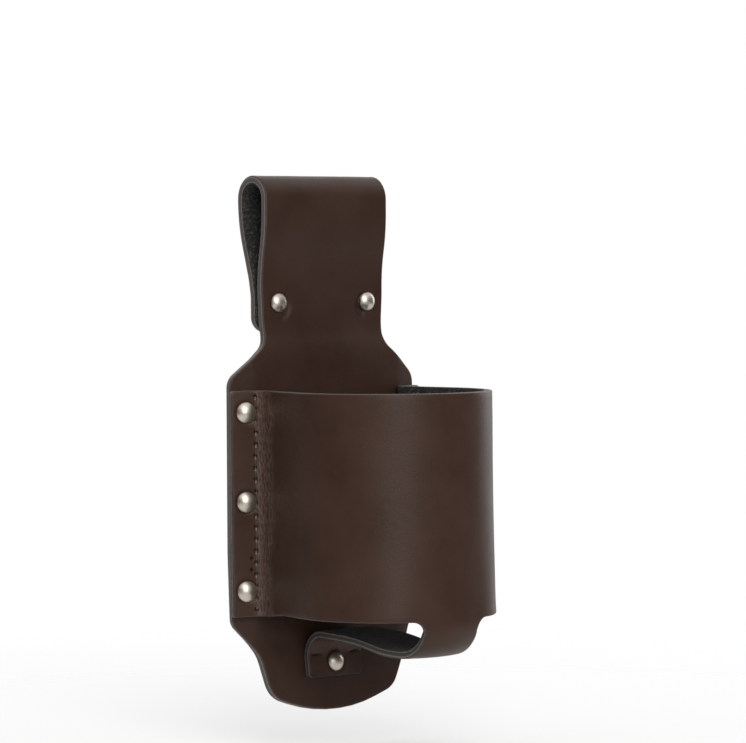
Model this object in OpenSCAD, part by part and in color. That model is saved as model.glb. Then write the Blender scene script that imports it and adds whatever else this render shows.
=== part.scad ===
// Leather belt holster for one bottle, in millimetres.
// X runs across the wearer, Y runs rearwards into the wearer and Z runs up.
// The origin is the centre of the belt loop's round top, where the belt carries the holster.
// Pieces are drawn from the bottle's axis and the band's lower edge, then moved by from_loop.
// Both leather pieces are drawn as their flat cut shape, then bent: the back panel has a long
// strip folded into a belt loop, and the front band wraps the bottle and passes a strap under it.

/* [Leather] */

// Thickness of the back panel's leather
panel_t = 2.8; // [2.2:0.1:3.4]
// Thickness of the front band's leather
band_t = 2.7; // [2.1:0.1:3.2]

/* [Bottle pocket] */

// Radius of the round pocket inside the band
pocket_r = 31.3; // [29:0.1:34]
// Height of the band
band_h = 72.6; // [62:0.2:84]
// Angle by which the band's side walls lean inwards on their way to the panel
wall_lean = 9.5; // [7:0.5:12]
// Distance that the panel stays clear of the pocket's circle
pocket_gap = 0.5; // [0.2:0.1:1]

/* [Flanges] */

// Width of each flange from the fold to its free edge
flange_w = 8.9; // [8:0.1:11]
// Inner radius of the fold between a side wall and its flange
fold_r = 2; // [1:0.1:3]
// Radius of the flange's two free corners
flange_corner_r = 1.5; // [0.5:0.1:3]
// Angle by which the panel's wings and the flanges bend rearwards
wing_curl = 15; // [10:1:18]
// How far inside the pocket's radius the wings begin to bend
wing_inset = 1.3; // [0.8:0.1:2.4]

/* [Bottom strap] */

// Width of the strap under the bottle
strap_w = 22; // [18:0.5:28]
// Radius of the fillets where the strap leaves the band
strap_fillet_r = 4; // [2:0.5:5]
// Straight part of the strap below the band's edge
strap_drop = 0.5; // [0.5:0.1:3]
// Outer radius of the strap's front bend
strap_bend_r = 12.2; // [9:0.1:14]
// Angle by which the strap climbs towards the panel
strap_rise = 5.5; // [2:0.5:6]
// Radius of the easy bend that starts the climb
strap_ease_r = 60; // [45:1:75]
// Inner radius of the bend that turns the strap down on to the tongue
tab_bend_r = 3; // [2:0.5:4]
// Straight length of the tab below that bend
tab_l = 11.2; // [10.6:0.1:15]
// Radius of the tab's lower corners
tab_corner_r = 1.5; // [0.5:0.1:3]

/* [Panel tongue and wings] */

// Half width of the rounded tongue
tongue_half_w = 26; // [24:0.2:28]
// How much further out each side of the tongue starts, up in the notch
tongue_taper = 3.5; // [1:0.1:4.5]
// Depth of the tongue's tip below the band, measured along the leather
tongue_drop = 34; // [32:0.2:40]
// Radius of the tongue's round tip
tongue_tip_r = 56; // [45:1:70]
// Radius of the tongue's lower corners
tongue_corner_r = 8.5; // [4:0.5:10]
// Depth of the wings' lower corners below the band
wing_drop = 1.5; // [1:0.1:4]
// Radius of the wings' lower corners
wing_corner_r = 4; // [2:0.5:6]
// Depth of the notch between wing and tongue below the band
notch_drop = 14.4; // [13:0.2:18]
// Radius in the notch between wing and tongue
notch_r = 12; // [8:0.5:14]
// Depth of the crease below which the tongue leans forwards
tongue_crease_drop = 11; // [10.6:0.2:14]
// Angle by which the tongue leans forwards
tongue_lean = 8; // [6:1:16]
// Inner radius of the tongue's easy bend
tongue_bend_r = 22; // [15:1:30]

/* [Panel shoulders] */

// Height of the wings' upper corners above the band
shoulder_rise = 4.5; // [2:0.1:5]
// Radius of the wings' upper corners
shoulder_r = 6; // [4:0.5:8]
// Height of the waist above the band
waist_rise = 16.3; // [13:0.1:18]
// Radius in the waist
waist_r = 7; // [5:0.5:9]
// Half width of the strip that forms the belt loop
strip_half_w = 25.4; // [23:0.2:27]

/* [Belt loop] */

// Height of the loop's top above the band
loop_rise = 70.3; // [66:0.1:80]
// Depth of the loop over both outer faces
loop_depth = 15.5; // [14.5:0.1:20]
// Height of the loop's rivets above the band
loop_rivet_rise = 28.5; // [26:0.1:30]
// How far the strip sits back at the loop's rivets
strip_set_back = 2; // [0.6:0.1:2.2]
// How far the loop's front bulges forwards from the rivets
loop_bulge = 2.5; // [1.5:0.1:4]
// Height of the S-bend that leads back to the rivets
set_back_h = 9; // [7:0.5:10]
// Height of the straight stretch at the rivets
rivet_land_h = 9; // [8.4:0.2:10]
// Height of the S-bend that leads forwards into the loop
bulge_h = 25; // [20:0.5:28]
// Angle at which the loop's rear sheet runs in to the rivets
loop_slope = 17; // [14:0.5:20]
// Radius of the rear sheet's upper bend
loop_upper_r = 28; // [20:1:34]
// Radius of the rear sheet's lower bend
loop_lower_r = 10; // [7:0.5:13]
// How far the flap reaches below the loop's rivets
flap_l = 8; // [6.5:0.2:10]
// Radius of the flap's corners
flap_corner_r = 5; // [2:0.5:6]
// Free gap between the flap and the strip that it lies on
flap_gap = 0.2; // [0.1:0.05:0.4]

/* [Rivets] */

// Radius of the flange rivets' caps
flange_cap_r = 3.5; // [2.8:0.1:3.8]
// Radius of the loop and tab rivets' caps
small_cap_r = 3.2; // [2.6:0.1:3.6]
// Height of a front cap's dome
dome_h = 1.7; // [1:0.1:2.2]
// Height of a rear cap's dome
back_dome_h = 1.1; // [0.8:0.1:1.6]
// Height of a cap's straight rim
rim_h = 0.4; // [0.3:0.1:0.7]
// Radius of a rivet's post
post_r = 1.1; // [0.8:0.1:1.3]
// Outer radius of the tube that takes the post
tube_r = 1.6; // [1.5:0.05:1.9]
// Share of the leather's depth that the tube fills
tube_share = 0.7; // [0.5:0.05:0.8]
// Distance of the upper and lower flange rivets from the band's edges
flange_rivet_inset = 7.1; // [6:0.1:10]
// Distance of the flange rivets from the fold
flange_rivet_out = 3.65; // [3.6:0.05:4.4]
// Distance of the loop's rivets from the strip's sides
loop_rivet_inset = 6.8; // [5:0.1:9]
// Distance of the tab's rivet from the tab's end
tab_rivet_inset = 5.6; // [5.5:0.1:7.2]

/* [Hidden] */

$fn = 48;

panel_color = [0.24, 0.17, 0.14];
band_color = [0.31, 0.22, 0.18];
cap_color = [0.78, 0.76, 0.73];
base_color = [0.62, 0.6, 0.58];

// One overrun serves every cut, and one clearance every loose fit
overrun = 1.5;
clearance = 0.08;
arc_step = 5;
round_fn = 360 / arc_step;

// The pocket in plan
band_r = pocket_r + band_t;
panel_y = pocket_r + pocket_gap;
crease_x = pocket_r - wing_inset;

// The side walls leave the round wall at a slight angle, because they lie a tuck inside its radius
tuck = band_t / 54;
wall_side = band_r - tuck;

// The fold's centre lies beside the wall and in front of the wing
lean_dir = [cos(wall_lean), sin(wall_lean)];
lean_along = [-sin(wall_lean), cos(wall_lean)];
curl_dir = [cos(wing_curl), sin(wing_curl)];
curl_out = [-sin(wing_curl), cos(wing_curl)];
fold_side = wall_side + fold_r;
fold_deep = fold_r + band_t;
crease = [crease_x, panel_y];
wall_run = (curl_out * crease - fold_deep - fold_side * sin(wall_lean - wing_curl))
  / cos(wall_lean - wing_curl);
fold_c = fold_side * lean_dir + wall_run * lean_along;

// Places along a wing, measured from its crease
fold_s = curl_dir * (fold_c - crease);
wing_w = fold_s + flange_w;
flange_rivet_s = fold_s + flange_rivet_out;
wing_half_w = crease_x + wing_w;
top_rivet_z = band_h - flange_rivet_inset;
mid_rivet_z = band_h / 2;
low_rivet_z = flange_rivet_inset;

// Heights of the loop
loop_top = band_h + loop_rise;
loop_rivet_z = band_h + loop_rivet_rise;
loop_rivet_x = strip_half_w - loop_rivet_inset;
flap_end_z = loop_rivet_z - flap_l;
loop_r = loop_depth / 2;
loop_c_z = loop_top - loop_r;
loop_c_y = panel_y + strip_set_back - loop_bulge + loop_r;
land_z = loop_rivet_z - rivet_land_h / 2;
set_back_z = land_z - set_back_h;
bulge_top_z = land_z + rivet_land_h + bulge_h;

// The rear sheet comes down far enough to lie on the strip at the rivets
rear_shift = loop_depth - loop_bulge - 2 * panel_t - flap_gap;
rear_run = (rear_shift - (loop_upper_r + loop_lower_r) * (1 - cos(loop_slope))) / sin(loop_slope);
rear_drop = (loop_upper_r + loop_lower_r) * sin(loop_slope) + rear_run * cos(loop_slope);
flap_straight = loop_c_z - rear_drop - flap_end_z;

// The tongue leans about a crease line on the panel's front face
tongue_apex = [panel_y, -tongue_crease_drop];
tongue_up = [sin(tongue_lean), cos(tongue_lean)];
tongue_front = [-cos(tongue_lean), sin(tongue_lean)];
bend_tangent = tongue_bend_r * tan(tongue_lean / 2);
tongue_start_l = tongue_drop - tongue_crease_drop + overrun;

// Length of an arc, and the two steps of an S-bend of a given shift and height
function arc_l(r, a) = r * abs(a) * PI / 180;
function s_angle(shift, h) = 2 * atan(shift / h);
function s_radius(shift, h) = h / 2 / sin(abs(s_angle(shift, h)));
function s_bend(shift, h) = [
  [arc_l(s_radius(shift, h), s_angle(shift, h)), -s_angle(shift, h)],
  [arc_l(s_radius(shift, h), s_angle(shift, h)), s_angle(shift, h)]
];

// A sheet's side view is a walk along one face: each step is a length and a turn
function step_end(p, h, l, a) = a == 0
  ? p + l * [cos(h), sin(h)]
  : let (r = l * 180 / PI / a) p + r * [sin(h + a) - sin(h), cos(h) - cos(h + a)];
function walk(steps, p, h, i = 0) = i >= len(steps)
  ? [[p[0], p[1], h]]
  : let (
      l = steps[i][0],
      a = steps[i][1],
      n = a == 0 ? 1 : ceil(abs(a) / arc_step)
    )
    concat(
      [for (k = [0:n - 1]) let (q = step_end(p, h, l * k / n, a * k / n)) [q[0], q[1], h + a * k / n]],
      walk(steps, step_end(p, h, l, a), h + a, i + 1)
    );
function face(w) = [for (q = w) [q[0], q[1]]];
function offset_face(w, t) = [for (q = w) [q[0] - t * sin(q[2]), q[1] + t * cos(q[2])]];
function reversed(v) = [for (i = [len(v) - 1:-1:0]) v[i]];
function sheet(w, t) = concat(face(w), reversed(offset_face(w, t)));

// A corner list of [x, z, radius] becomes an outline with round corners
function unit(v) = v / norm(v);
function corner(p0, p1, p2) =
  let (
    b = [p1[0], p1[1]],
    u = unit([p0[0], p0[1]] - b),
    v = unit([p2[0], p2[1]] - b),
    half = acos(u * v) / 2,
    c = b + unit(u + v) * p1[2] / sin(half),
    s = b + u * p1[2] / tan(half),
    a0 = atan2(s[1] - c[1], s[0] - c[0]),
    turn = (180 - 2 * half) * (u[0] * v[1] - u[1] * v[0] > 0 ? -1 : 1),
    n = ceil(abs(turn) / arc_step)
  )
  p1[2] == 0 ? [b] : [for (k = [0:n]) c + p1[2] * [cos(a0 + turn * k / n), sin(a0 + turn * k / n)]];
function rounded(c) = [
  for (i = [0:len(c) - 1])
    each corner(c[(i + len(c) - 1) % len(c)], c[i], c[(i + 1) % len(c)])
];

// Right half of the panel's flat shape, from the tip upwards, with the corner radii
tip_reach = tongue_tip_r * (1 / cos(tip_slope()) - 1);
function tip_slope() = asin(tongue_half_w / tongue_tip_r) / 1.5;
corner_drop = tongue_drop + tip_reach - tongue_half_w * tan(tip_slope());
pattern_half = [
  [tongue_half_w, -corner_drop, tongue_corner_r],
  [tongue_half_w + tongue_taper, -notch_drop, notch_r],
  [wing_half_w, -wing_drop, wing_corner_r],
  [wing_half_w, band_h + shoulder_rise, shoulder_r],
  [strip_half_w, band_h + waist_rise, waist_r],
  [strip_half_w, loop_top + overrun, 0]
];
pattern = rounded(concat(
  [[0, -tongue_drop - tip_reach, tongue_tip_r]],
  pattern_half,
  [for (p = reversed(pattern_half)) [-p[0], p[1], p[2]]]
));

// Side view of the panel's front face, from below the tip up over the loop to the flap's end
panel_steps = concat(
  [[tongue_start_l - bend_tangent, 0], [arc_l(tongue_bend_r, tongue_lean), tongue_lean]],
  [[set_back_z - bend_tangent + tongue_crease_drop, 0]],
  s_bend(strip_set_back, set_back_h),
  [[rivet_land_h, 0]],
  s_bend(-loop_bulge, bulge_h),
  [[loop_c_z - bulge_top_z, 0], [arc_l(loop_r, 180), -180]],
  [[arc_l(loop_upper_r, loop_slope), -loop_slope], [rear_run, 0]],
  [[arc_l(loop_lower_r, loop_slope), loop_slope], [flap_straight, 0]]
);
panel_start = tongue_apex - tongue_start_l * tongue_up;

// Side view of the strap's outer face, from under the pocket to the tab's end
strap_start_y = -pocket_r / 2;
strap_low_z = -strap_drop - strap_bend_r;
strap_ease = [arc_l(strap_ease_r, strap_rise), strap_rise];
tab_turn = -(90 + tongue_lean + strap_rise);
tab_bend = [arc_l(tab_bend_r, tab_turn), tab_turn];
ease_end = step_end([strap_start_y, strap_low_z], 0, strap_ease[0], strap_ease[1]);
strap_lap = 2 * overrun;
bend_move = step_end([0, 0], strap_rise, tab_bend[0], tab_bend[1]);
strap_run = (band_t - (ease_end + bend_move - tongue_apex) * tongue_front)
  / ([cos(strap_rise), sin(strap_rise)] * tongue_front);
tab_top = ease_end + strap_run * [cos(strap_rise), sin(strap_rise)] + bend_move;
tab_top_drop = (tongue_apex - tab_top) * tongue_up;
tab_end_drop = tab_top_drop + tab_l;
tab_rivet_drop = tab_end_drop - tab_rivet_inset;
strap_steps = [[strap_lap, 0], strap_ease, [strap_run, 0], tab_bend, [tab_l, 0]];

// Plan of the band's outer face on the right, from the round wall to the flange's free edge
fold_turn = 90 + wall_lean - wing_curl;
side_steps = [[wall_run, 0], [arc_l(fold_r, fold_turn), -fold_turn], [flange_w, 0]];
side_walk = walk(side_steps, wall_side * lean_dir, 90 + wall_lean);
side_end = side_walk[len(side_walk) - 1];
free_edge = [side_end[0], side_end[1]];
function both_sides(v) = concat(v, [for (p = reversed(v)) [-p[0], p[1]]]);

// Half section of the strap's front bend, which turns in under the pocket like a bowl.
// It is a skin thinner than the band on both faces, so that it ends inside the band's wall.
skin = band_t / 27;
bowl_steps = [
  [band_r - strap_bend_r, 0],
  [arc_l(strap_bend_r - skin, 90), 90],
  [strap_drop + overrun, 0]
];

// Depths of leather that the rivets clamp
flange_stack = panel_t + band_t;
loop_stack = 2 * panel_t + flap_gap;
hole_r = tube_r + clearance;

// Moves a drawn piece so that the centre of the loop's round top is the origin
module from_loop() {
  translate([0, -loop_c_y, -loop_c_z])
    children();
}

// Frames: a flat outline laid on a wing, on the tongue or on the strip at the loop's rivets
module wing_frame(side) {
  mirror([side < 0 ? 1 : 0, 0, 0])
    translate([crease[0], crease[1], 0])
      rotate([0, 0, wing_curl])
        children();
}

module tongue_frame() {
  translate([0, tongue_apex[0], tongue_apex[1]])
    rotate([-tongue_lean, 0, 0])
      children();
}

// Extrudes an outline drawn in X and Z along Y, from y0 to y1
module along_y(y0, y1) {
  translate([0, y1, 0])
    rotate([90, 0, 0])
      linear_extrude(height = y1 - y0)
        children();
}

// Extrudes an outline drawn in Y and Z along X, to both sides of the middle
module along_x(w) {
  rotate([90, 0, 90])
    translate([0, 0, -w / 2])
      linear_extrude(height = w)
        children();
}

// A hole along Y through a frame's leather
module hole_y(x, z, y0, y1) {
  translate([x, y1, z])
    rotate([90, 0, 0])
      cylinder(r = hole_r, h = y1 - y0);
}

module flange_holes(side) {
  wing_frame(side)
    for (z = [low_rivet_z, mid_rivet_z, top_rivet_z])
      hole_y(flange_rivet_s, z, -band_t - overrun, panel_t + overrun);
}

// Plan of one side of the panel: a strip of its flat middle and the wing, mitred at the crease
module wing_plan() {
  lap_x = crease_x - overrun;
  polygon([
    [lap_x, panel_y],
    crease,
    crease + wing_w * curl_dir,
    crease + wing_w * curl_dir + panel_t * curl_out,
    [crease_x - panel_t * tan(wing_curl / 2), panel_y + panel_t],
    [lap_x, panel_y + panel_t]
  ]);
}

// The flat pattern as a thick block that trims one wing and the strip beside it
module wing_trim(side) {
  wing_frame(side)
    along_y(-panel_t, 2 * panel_t)
      intersection() {
        translate([-crease_x, 0]) polygon(pattern);
        translate([-overrun / 2, -tongue_drop]) square([wing_half_w, tongue_drop + loop_top]);
      }
  along_y(panel_y - panel_t, panel_y + 2 * panel_t)
    intersection() {
      polygon(pattern);
      translate([side < 0 ? -crease_x - overrun / 2 : 0, -tongue_drop])
        square([crease_x + overrun / 2, tongue_drop + loop_top]);
    }
}

module panel_wing(side) {
  intersection() {
    mirror([side < 0 ? 1 : 0, 0, 0])
      translate([0, 0, -tongue_crease_drop - overrun])
        linear_extrude(height = tongue_crease_drop + overrun + loop_rivet_z)
          wing_plan();
    union() wing_trim(side);
  }
}

module back_panel() {
  color(panel_color)
    from_loop() difference() {
      union() {
        intersection() {
          along_x(2 * crease_x - overrun / 2)
            polygon(sheet(walk(panel_steps, panel_start, 90 - tongue_lean), -panel_t));
          along_y(0, panel_y + loop_depth + overrun) polygon(pattern);
        }
        panel_wing(1);
        panel_wing(-1);
      }
      flange_holes(1);
      flange_holes(-1);
      for (x = [-loop_rivet_x, loop_rivet_x])
        hole_y(x, loop_rivet_z, panel_y - overrun, panel_y + strip_set_back + loop_stack + overrun);
      tongue_frame() hole_y(0, -tab_rivet_drop, -band_t - overrun, panel_t + overrun);
      for (side = [-1, 1]) flap_corner(side);
    }
}

// Cuts away the corner at an outline's point, on the outer side of a circle of radius r.
// The circle lies a tuck further out, so that it crosses both sides and never just touches them.
module corner_cut(r, side_x, side_z) {
  difference() {
    translate([side_x < 0 ? -r - overrun : 0, side_z < 0 ? -r - overrun : 0])
      square(r + overrun);
    translate(tuck * [side_x, side_z]) circle(r = r);
  }
}

// Cuts one of the flap's two corners round, behind the strip that it lies on
module flap_corner(side) {
  flap_y = panel_y + strip_set_back + panel_t + flap_gap / 2;
  translate([side * (strip_half_w - flap_corner_r), 0, flap_end_z + flap_corner_r])
    along_y(flap_y, flap_y + panel_t + overrun)
      corner_cut(flap_corner_r, side, -1);
}

// Cuts the two free corners of one flange round
module flange_corners(side) {
  wing_frame(side)
    for (end = [-1, 1])
      translate([wing_w - flange_corner_r, 0, end < 0 ? flange_corner_r : band_h - flange_corner_r])
        along_y(-band_t - overrun, overrun)
          corner_cut(flange_corner_r, 1, end);
}

// The strap's front stretch
module strap_bowl() {
  intersection() {
    rotate_extrude()
      polygon(sheet(walk(bowl_steps, [0, strap_low_z + skin], 0), band_t - 2 * skin));
    along_y(-band_r - overrun, strap_start_y) strap_outline();
  }
}

// Front view of the strap with its fillets at the band's lower edge
module strap_outline() {
  reach = -strap_low_z + overrun;
  half = strap_w / 2;
  foot = half + strap_fillet_r + overrun;
  lift = strap_fillet_r / 20;
  polygon(rounded([
    [-half, -reach, 0],
    [half, -reach, 0],
    [half, lift, strap_fillet_r],
    [foot, lift, 0],
    [foot, overrun, 0],
    [-foot, overrun, 0],
    [-foot, lift, 0],
    [-half, lift, strap_fillet_r]
  ]));
}

module tab_corner(side) {
  tongue_frame()
    translate([side * (strap_w / 2 - tab_corner_r), 0, -tab_end_drop + tab_corner_r])
      along_y(-band_t - overrun, overrun)
        corner_cut(tab_corner_r, side, -1);
}

// What the band's outer face encloses, closed off behind the flanges
module band_outside() {
  cylinder(r = band_r, h = band_h, $fn = round_fn);
  linear_extrude(height = band_h)
    polygon(both_sides(concat(face(side_walk), [free_edge + (band_t + overrun) * curl_out])));
}

// What the band's inner face encloses, open at the top, at the bottom and behind the flanges
module band_inside() {
  rear_edge = free_edge + band_t * curl_out + overrun * curl_dir;
  translate([0, 0, -overrun]) {
    cylinder(r = pocket_r, h = band_h + 2 * overrun, $fn = round_fn);
    linear_extrude(height = band_h + 2 * overrun)
      polygon(both_sides(concat(
        offset_face(side_walk, band_t),
        [rear_edge, rear_edge + 2 * overrun * curl_out]
      )));
  }
}

module band_wall() {
  difference() {
    union() band_outside();
    band_inside();
  }
}

module front_band() {
  color(band_color)
    from_loop() difference() {
      union() {
        band_wall();
        strap_bowl();
        along_x(strap_w)
          polygon(sheet(walk(strap_steps, [strap_start_y - strap_lap, strap_low_z], 0), band_t));
      }
      flange_holes(1);
      flange_holes(-1);
      tongue_frame() hole_y(0, -tab_rivet_drop, -band_t - overrun, panel_t + overrun);
      for (side = [-1, 1]) {
        tab_corner(side);
        flange_corners(side);
      }
    }
}

// Half section of a domed cap over its rim, standing on Z = 0
module cap_section(r, dome) {
  ball_r = (r * r + dome * dome) / 2 / dome;
  square([r, rim_h]);
  translate([0, rim_h])
    intersection() {
      translate([0, dome - ball_r]) circle(r = ball_r);
      square([r, dome]);
    }
}

// Front cap with its post, whose face rests on Z = 0 and whose post runs down through the leather
module rivet_cap(r, stack) {
  color(cap_color)
    rotate_extrude()
      union() {
        cap_section(r, dome_h);
        translate([0, -stack]) square([post_r, stack]);
      }
}

// Rear cap with the tube that grips the post, resting on the leather's rear face
module rivet_base(r, stack) {
  tube_l = stack * tube_share;
  color(base_color)
    rotate_extrude()
      union() {
        translate([0, -stack]) mirror([0, 1]) cap_section(r, back_dome_h);
        translate([post_r + clearance, -stack]) square([tube_r - post_r - clearance, tube_l]);
      }
}

// Turns a rivet's axis from Z to the front of a frame
module at_front(x, z, y) {
  translate([x, y, z])
    rotate([90, 0, 0])
      children();
}

module flange_cap(side, z) {
  from_loop() wing_frame(side)
    at_front(flange_rivet_s, z, -band_t) rivet_cap(flange_cap_r, flange_stack);
}

module flange_base(side, z) {
  from_loop() wing_frame(side)
    at_front(flange_rivet_s, z, -band_t) rivet_base(flange_cap_r, flange_stack);
}

module loop_cap(side) {
  from_loop() at_front(side * loop_rivet_x, loop_rivet_z, panel_y + strip_set_back)
    rivet_cap(small_cap_r, loop_stack);
}

module loop_base(side) {
  from_loop() at_front(side * loop_rivet_x, loop_rivet_z, panel_y + strip_set_back)
    rivet_base(small_cap_r, loop_stack);
}

module left_top_rivet_cap() flange_cap(-1, top_rivet_z);
module left_top_rivet_base() flange_base(-1, top_rivet_z);
module left_mid_rivet_cap() flange_cap(-1, mid_rivet_z);
module left_mid_rivet_base() flange_base(-1, mid_rivet_z);
module left_low_rivet_cap() flange_cap(-1, low_rivet_z);
module left_low_rivet_base() flange_base(-1, low_rivet_z);
module right_top_rivet_cap() flange_cap(1, top_rivet_z);
module right_top_rivet_base() flange_base(1, top_rivet_z);
module right_mid_rivet_cap() flange_cap(1, mid_rivet_z);
module right_mid_rivet_base() flange_base(1, mid_rivet_z);
module right_low_rivet_cap() flange_cap(1, low_rivet_z);
module right_low_rivet_base() flange_base(1, low_rivet_z);
module left_loop_rivet_cap() loop_cap(-1);
module left_loop_rivet_base() loop_base(-1);
module right_loop_rivet_cap() loop_cap(1);
module right_loop_rivet_base() loop_base(1);

module tab_rivet_cap() {
  from_loop() tongue_frame()
    at_front(0, -tab_rivet_drop, -band_t) rivet_cap(small_cap_r, flange_stack);
}

module tab_rivet_base() {
  from_loop() tongue_frame()
    at_front(0, -tab_rivet_drop, -band_t) rivet_base(small_cap_r, flange_stack);
}

back_panel();
front_band();
left_top_rivet_cap();
left_top_rivet_base();
left_mid_rivet_cap();
left_mid_rivet_base();
left_low_rivet_cap();
left_low_rivet_base();
right_top_rivet_cap();
right_top_rivet_base();
right_mid_rivet_cap();
right_mid_rivet_base();
right_low_rivet_cap();
right_low_rivet_base();
left_loop_rivet_cap();
left_loop_rivet_base();
right_loop_rivet_cap();
right_loop_rivet_base();
tab_rivet_cap();
tab_rivet_base();
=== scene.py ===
# Dressed model of a leather belt holster for one bottle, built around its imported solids.
# Lengths are millimetres in a drawing frame, whose origin is on the bottle's axis at the band's
# lower edge. The function to_row moves a finished piece into the row frame, in metres.
import math

import bmesh
import bpy
import numpy as np
from mathutils import Matrix, Vector
from mathutils.geometry import delaunay_2d_cdt


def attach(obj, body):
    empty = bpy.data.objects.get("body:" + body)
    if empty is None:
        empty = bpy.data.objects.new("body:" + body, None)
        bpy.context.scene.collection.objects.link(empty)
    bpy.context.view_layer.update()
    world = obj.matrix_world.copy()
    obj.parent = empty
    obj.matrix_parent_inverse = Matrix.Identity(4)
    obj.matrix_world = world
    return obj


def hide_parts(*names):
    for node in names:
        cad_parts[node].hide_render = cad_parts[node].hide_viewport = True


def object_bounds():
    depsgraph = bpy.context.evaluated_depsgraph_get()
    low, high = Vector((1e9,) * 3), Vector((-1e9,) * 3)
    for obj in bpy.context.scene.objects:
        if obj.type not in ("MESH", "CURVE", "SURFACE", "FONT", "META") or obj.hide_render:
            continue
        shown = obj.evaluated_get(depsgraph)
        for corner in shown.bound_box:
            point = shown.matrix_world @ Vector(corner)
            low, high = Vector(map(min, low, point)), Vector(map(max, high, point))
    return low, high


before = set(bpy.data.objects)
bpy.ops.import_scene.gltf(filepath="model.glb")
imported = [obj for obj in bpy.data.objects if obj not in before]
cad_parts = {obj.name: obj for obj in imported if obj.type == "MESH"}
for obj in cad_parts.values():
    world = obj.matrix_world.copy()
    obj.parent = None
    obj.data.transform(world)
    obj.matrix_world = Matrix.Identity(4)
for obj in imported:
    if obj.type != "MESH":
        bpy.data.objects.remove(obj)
cad_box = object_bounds()

# The part's named sizes, as in its source
PANEL_T = 2.8
BAND_T = 2.7
POCKET_R = 31.3
BAND_H = 72.6
WALL_LEAN = 9.5
POCKET_GAP = 0.5
FLANGE_W = 8.9
FOLD_R = 2.0
FLANGE_CORNER_R = 1.5
WING_CURL = 15.0
WING_INSET = 1.3
STRAP_W = 22.0
STRAP_FILLET_R = 4.0
STRAP_DROP = 0.5
STRAP_BEND_R = 12.2
STRAP_RISE = 5.5
STRAP_EASE_R = 60.0
TAB_BEND_R = 3.0
TAB_L = 11.2
TAB_CORNER_R = 1.5
TONGUE_HALF_W = 26.0
TONGUE_TAPER = 3.5
TONGUE_DROP = 34.0
TONGUE_TIP_R = 56.0
TONGUE_CORNER_R = 8.5
WING_DROP = 1.5
WING_CORNER_R = 5.0
NOTCH_DROP = 14.4
NOTCH_R = 12.0
CREASE_DROP = 11.0
TONGUE_LEAN = 8.0
TONGUE_BEND_R = 22.0
SHOULDER_RISE = 4.5
SHOULDER_R = 6.0
WAIST_RISE = 16.3
WAIST_R = 7.0
STRIP_HALF_W = 25.4
LOOP_RISE = 70.3
LOOP_DEPTH = 15.5
LOOP_RIVET_RISE = 28.5
STRIP_SET_BACK = 2.0
LOOP_BULGE = 2.5
RIVET_LAND_H = 9.0
BULGE_H = 25.0
FLAP_CORNER_R = 5.0
FLAP_GAP = 0.2
FLANGE_CAP_R = 3.5
SMALL_CAP_R = 3.2
FLANGE_RIVET_INSET = 7.1
FLANGE_RIVET_OUT = 3.65
LOOP_RIVET_INSET = 6.8
TAB_RIVET_INSET = 5.6
HOLE_R = 1.68
DOME_H = 1.7
BACK_DOME_H = 1.1
RIM_H = 0.4
POST_R = 1.1
TUBE_R = 1.6
TUBE_SHARE = 0.7
POST_CHAMFER = 0.2
ROOT_CHAMFER = 0.15
BORE_PLAY = 0.05
BORE_END = 0.02

# Degrees between the points of a rounded corner
CORNER_STEP = 6.0

# Cut edges: their rounding, the rings of points beside them and the rows down their side
RIM_R = 0.45
RING_STEPS = (0.07, 0.2, 0.45)
RING_CLEAR = 0.3
EDGE_ROWS = 6
EDGE_BELLY = 0.05

# Seam, in its groove, with a back-tack beside it low down
STITCH_PITCH = 3.87
STITCH_HOLES = 19
STITCH_TOP_DROP = 1.8
STITCH_OUT = 0.3
STITCH_WOBBLE = 0.22
TACK_OUT = 1.35
TACK_UP = 1.3
THREAD_R = 0.29
GROOVE_DEPTH = 0.12
GROOVE_W = 0.45
PRICK_DEPTH = 0.65
PRICK_R = 0.43
# Reach of the painted shade inside a stitch hole
PRICK_SHADE_R = 0.56

# The leather's real bends, rounder and softer than the solids'
SOFT_FOLD_R = 3.6
SOFT_BEND_R = 6.5
SOFT_CREASE_R = 16.0
SOFT_SLOPE = 17.0
SOFT_UPPER_R = 54.0
SOFT_LOWER_R = 8.0
SOFT_FLAP_L = 9.8
SOFT_SET_BACK_H = 15.0
FLAP_OPENS = 0.55
FLARE = 1.1
CLIMB = 10.0
CLIMB_R = 55.0
CLIMB_L = 4.0
LEVEL = 2.0
LEVEL_R = 100.0

# Where the cut outlines leave the solids'
TAB_TRIM = 0.8
FLANGE_DIP = 1.45
WING_TRIM = 0.5
WING_SAG = 0.9
WAIST_TRIM = 0.8
SHOULDER_SAG = 0.9
STRIP_EASE_R = 60.0
RIGHT_NOTCH_OUT = 3.6
RIGHT_NOTCH_DOWN = 1.0
RIGHT_NOTCH_R = 9.0
LEFT_TRIM = 0.85
LEFT_LEAN = 0.65
LEFT_SAG = 2.7
LEAN_FROM = 19.0
LEAN_R = 100.0

# Wrinkles beside the seam. A net has its cells' width and height, and its lines' width
WRINKLE_REACH = 5.2
WRINKLE_FADE = 5.5
WALL_SPREAD = 0.52
COARSE_NET = (1.0, 3.8, 0.28)
THIN_NET = (0.62, 2.3, 0.34)

# The two creases beside the tab's rivet, and the hollow and ridge beside a loop rivet
TAB_CREASE_UP = 2.9
TAB_CREASE_X = 8.0
TAB_CREASE_HALF_L = 2.3
TAB_CREASE_W = 0.42
TAB_CREASE_DEPTH = 0.4
HOLLOW_DEPTH = 0.72
HOLLOW_R = 2.9
HOLLOW_FADE = 2.1
RIDGE_RISE = 0.16
RIDGE_IN = 6.6

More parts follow.
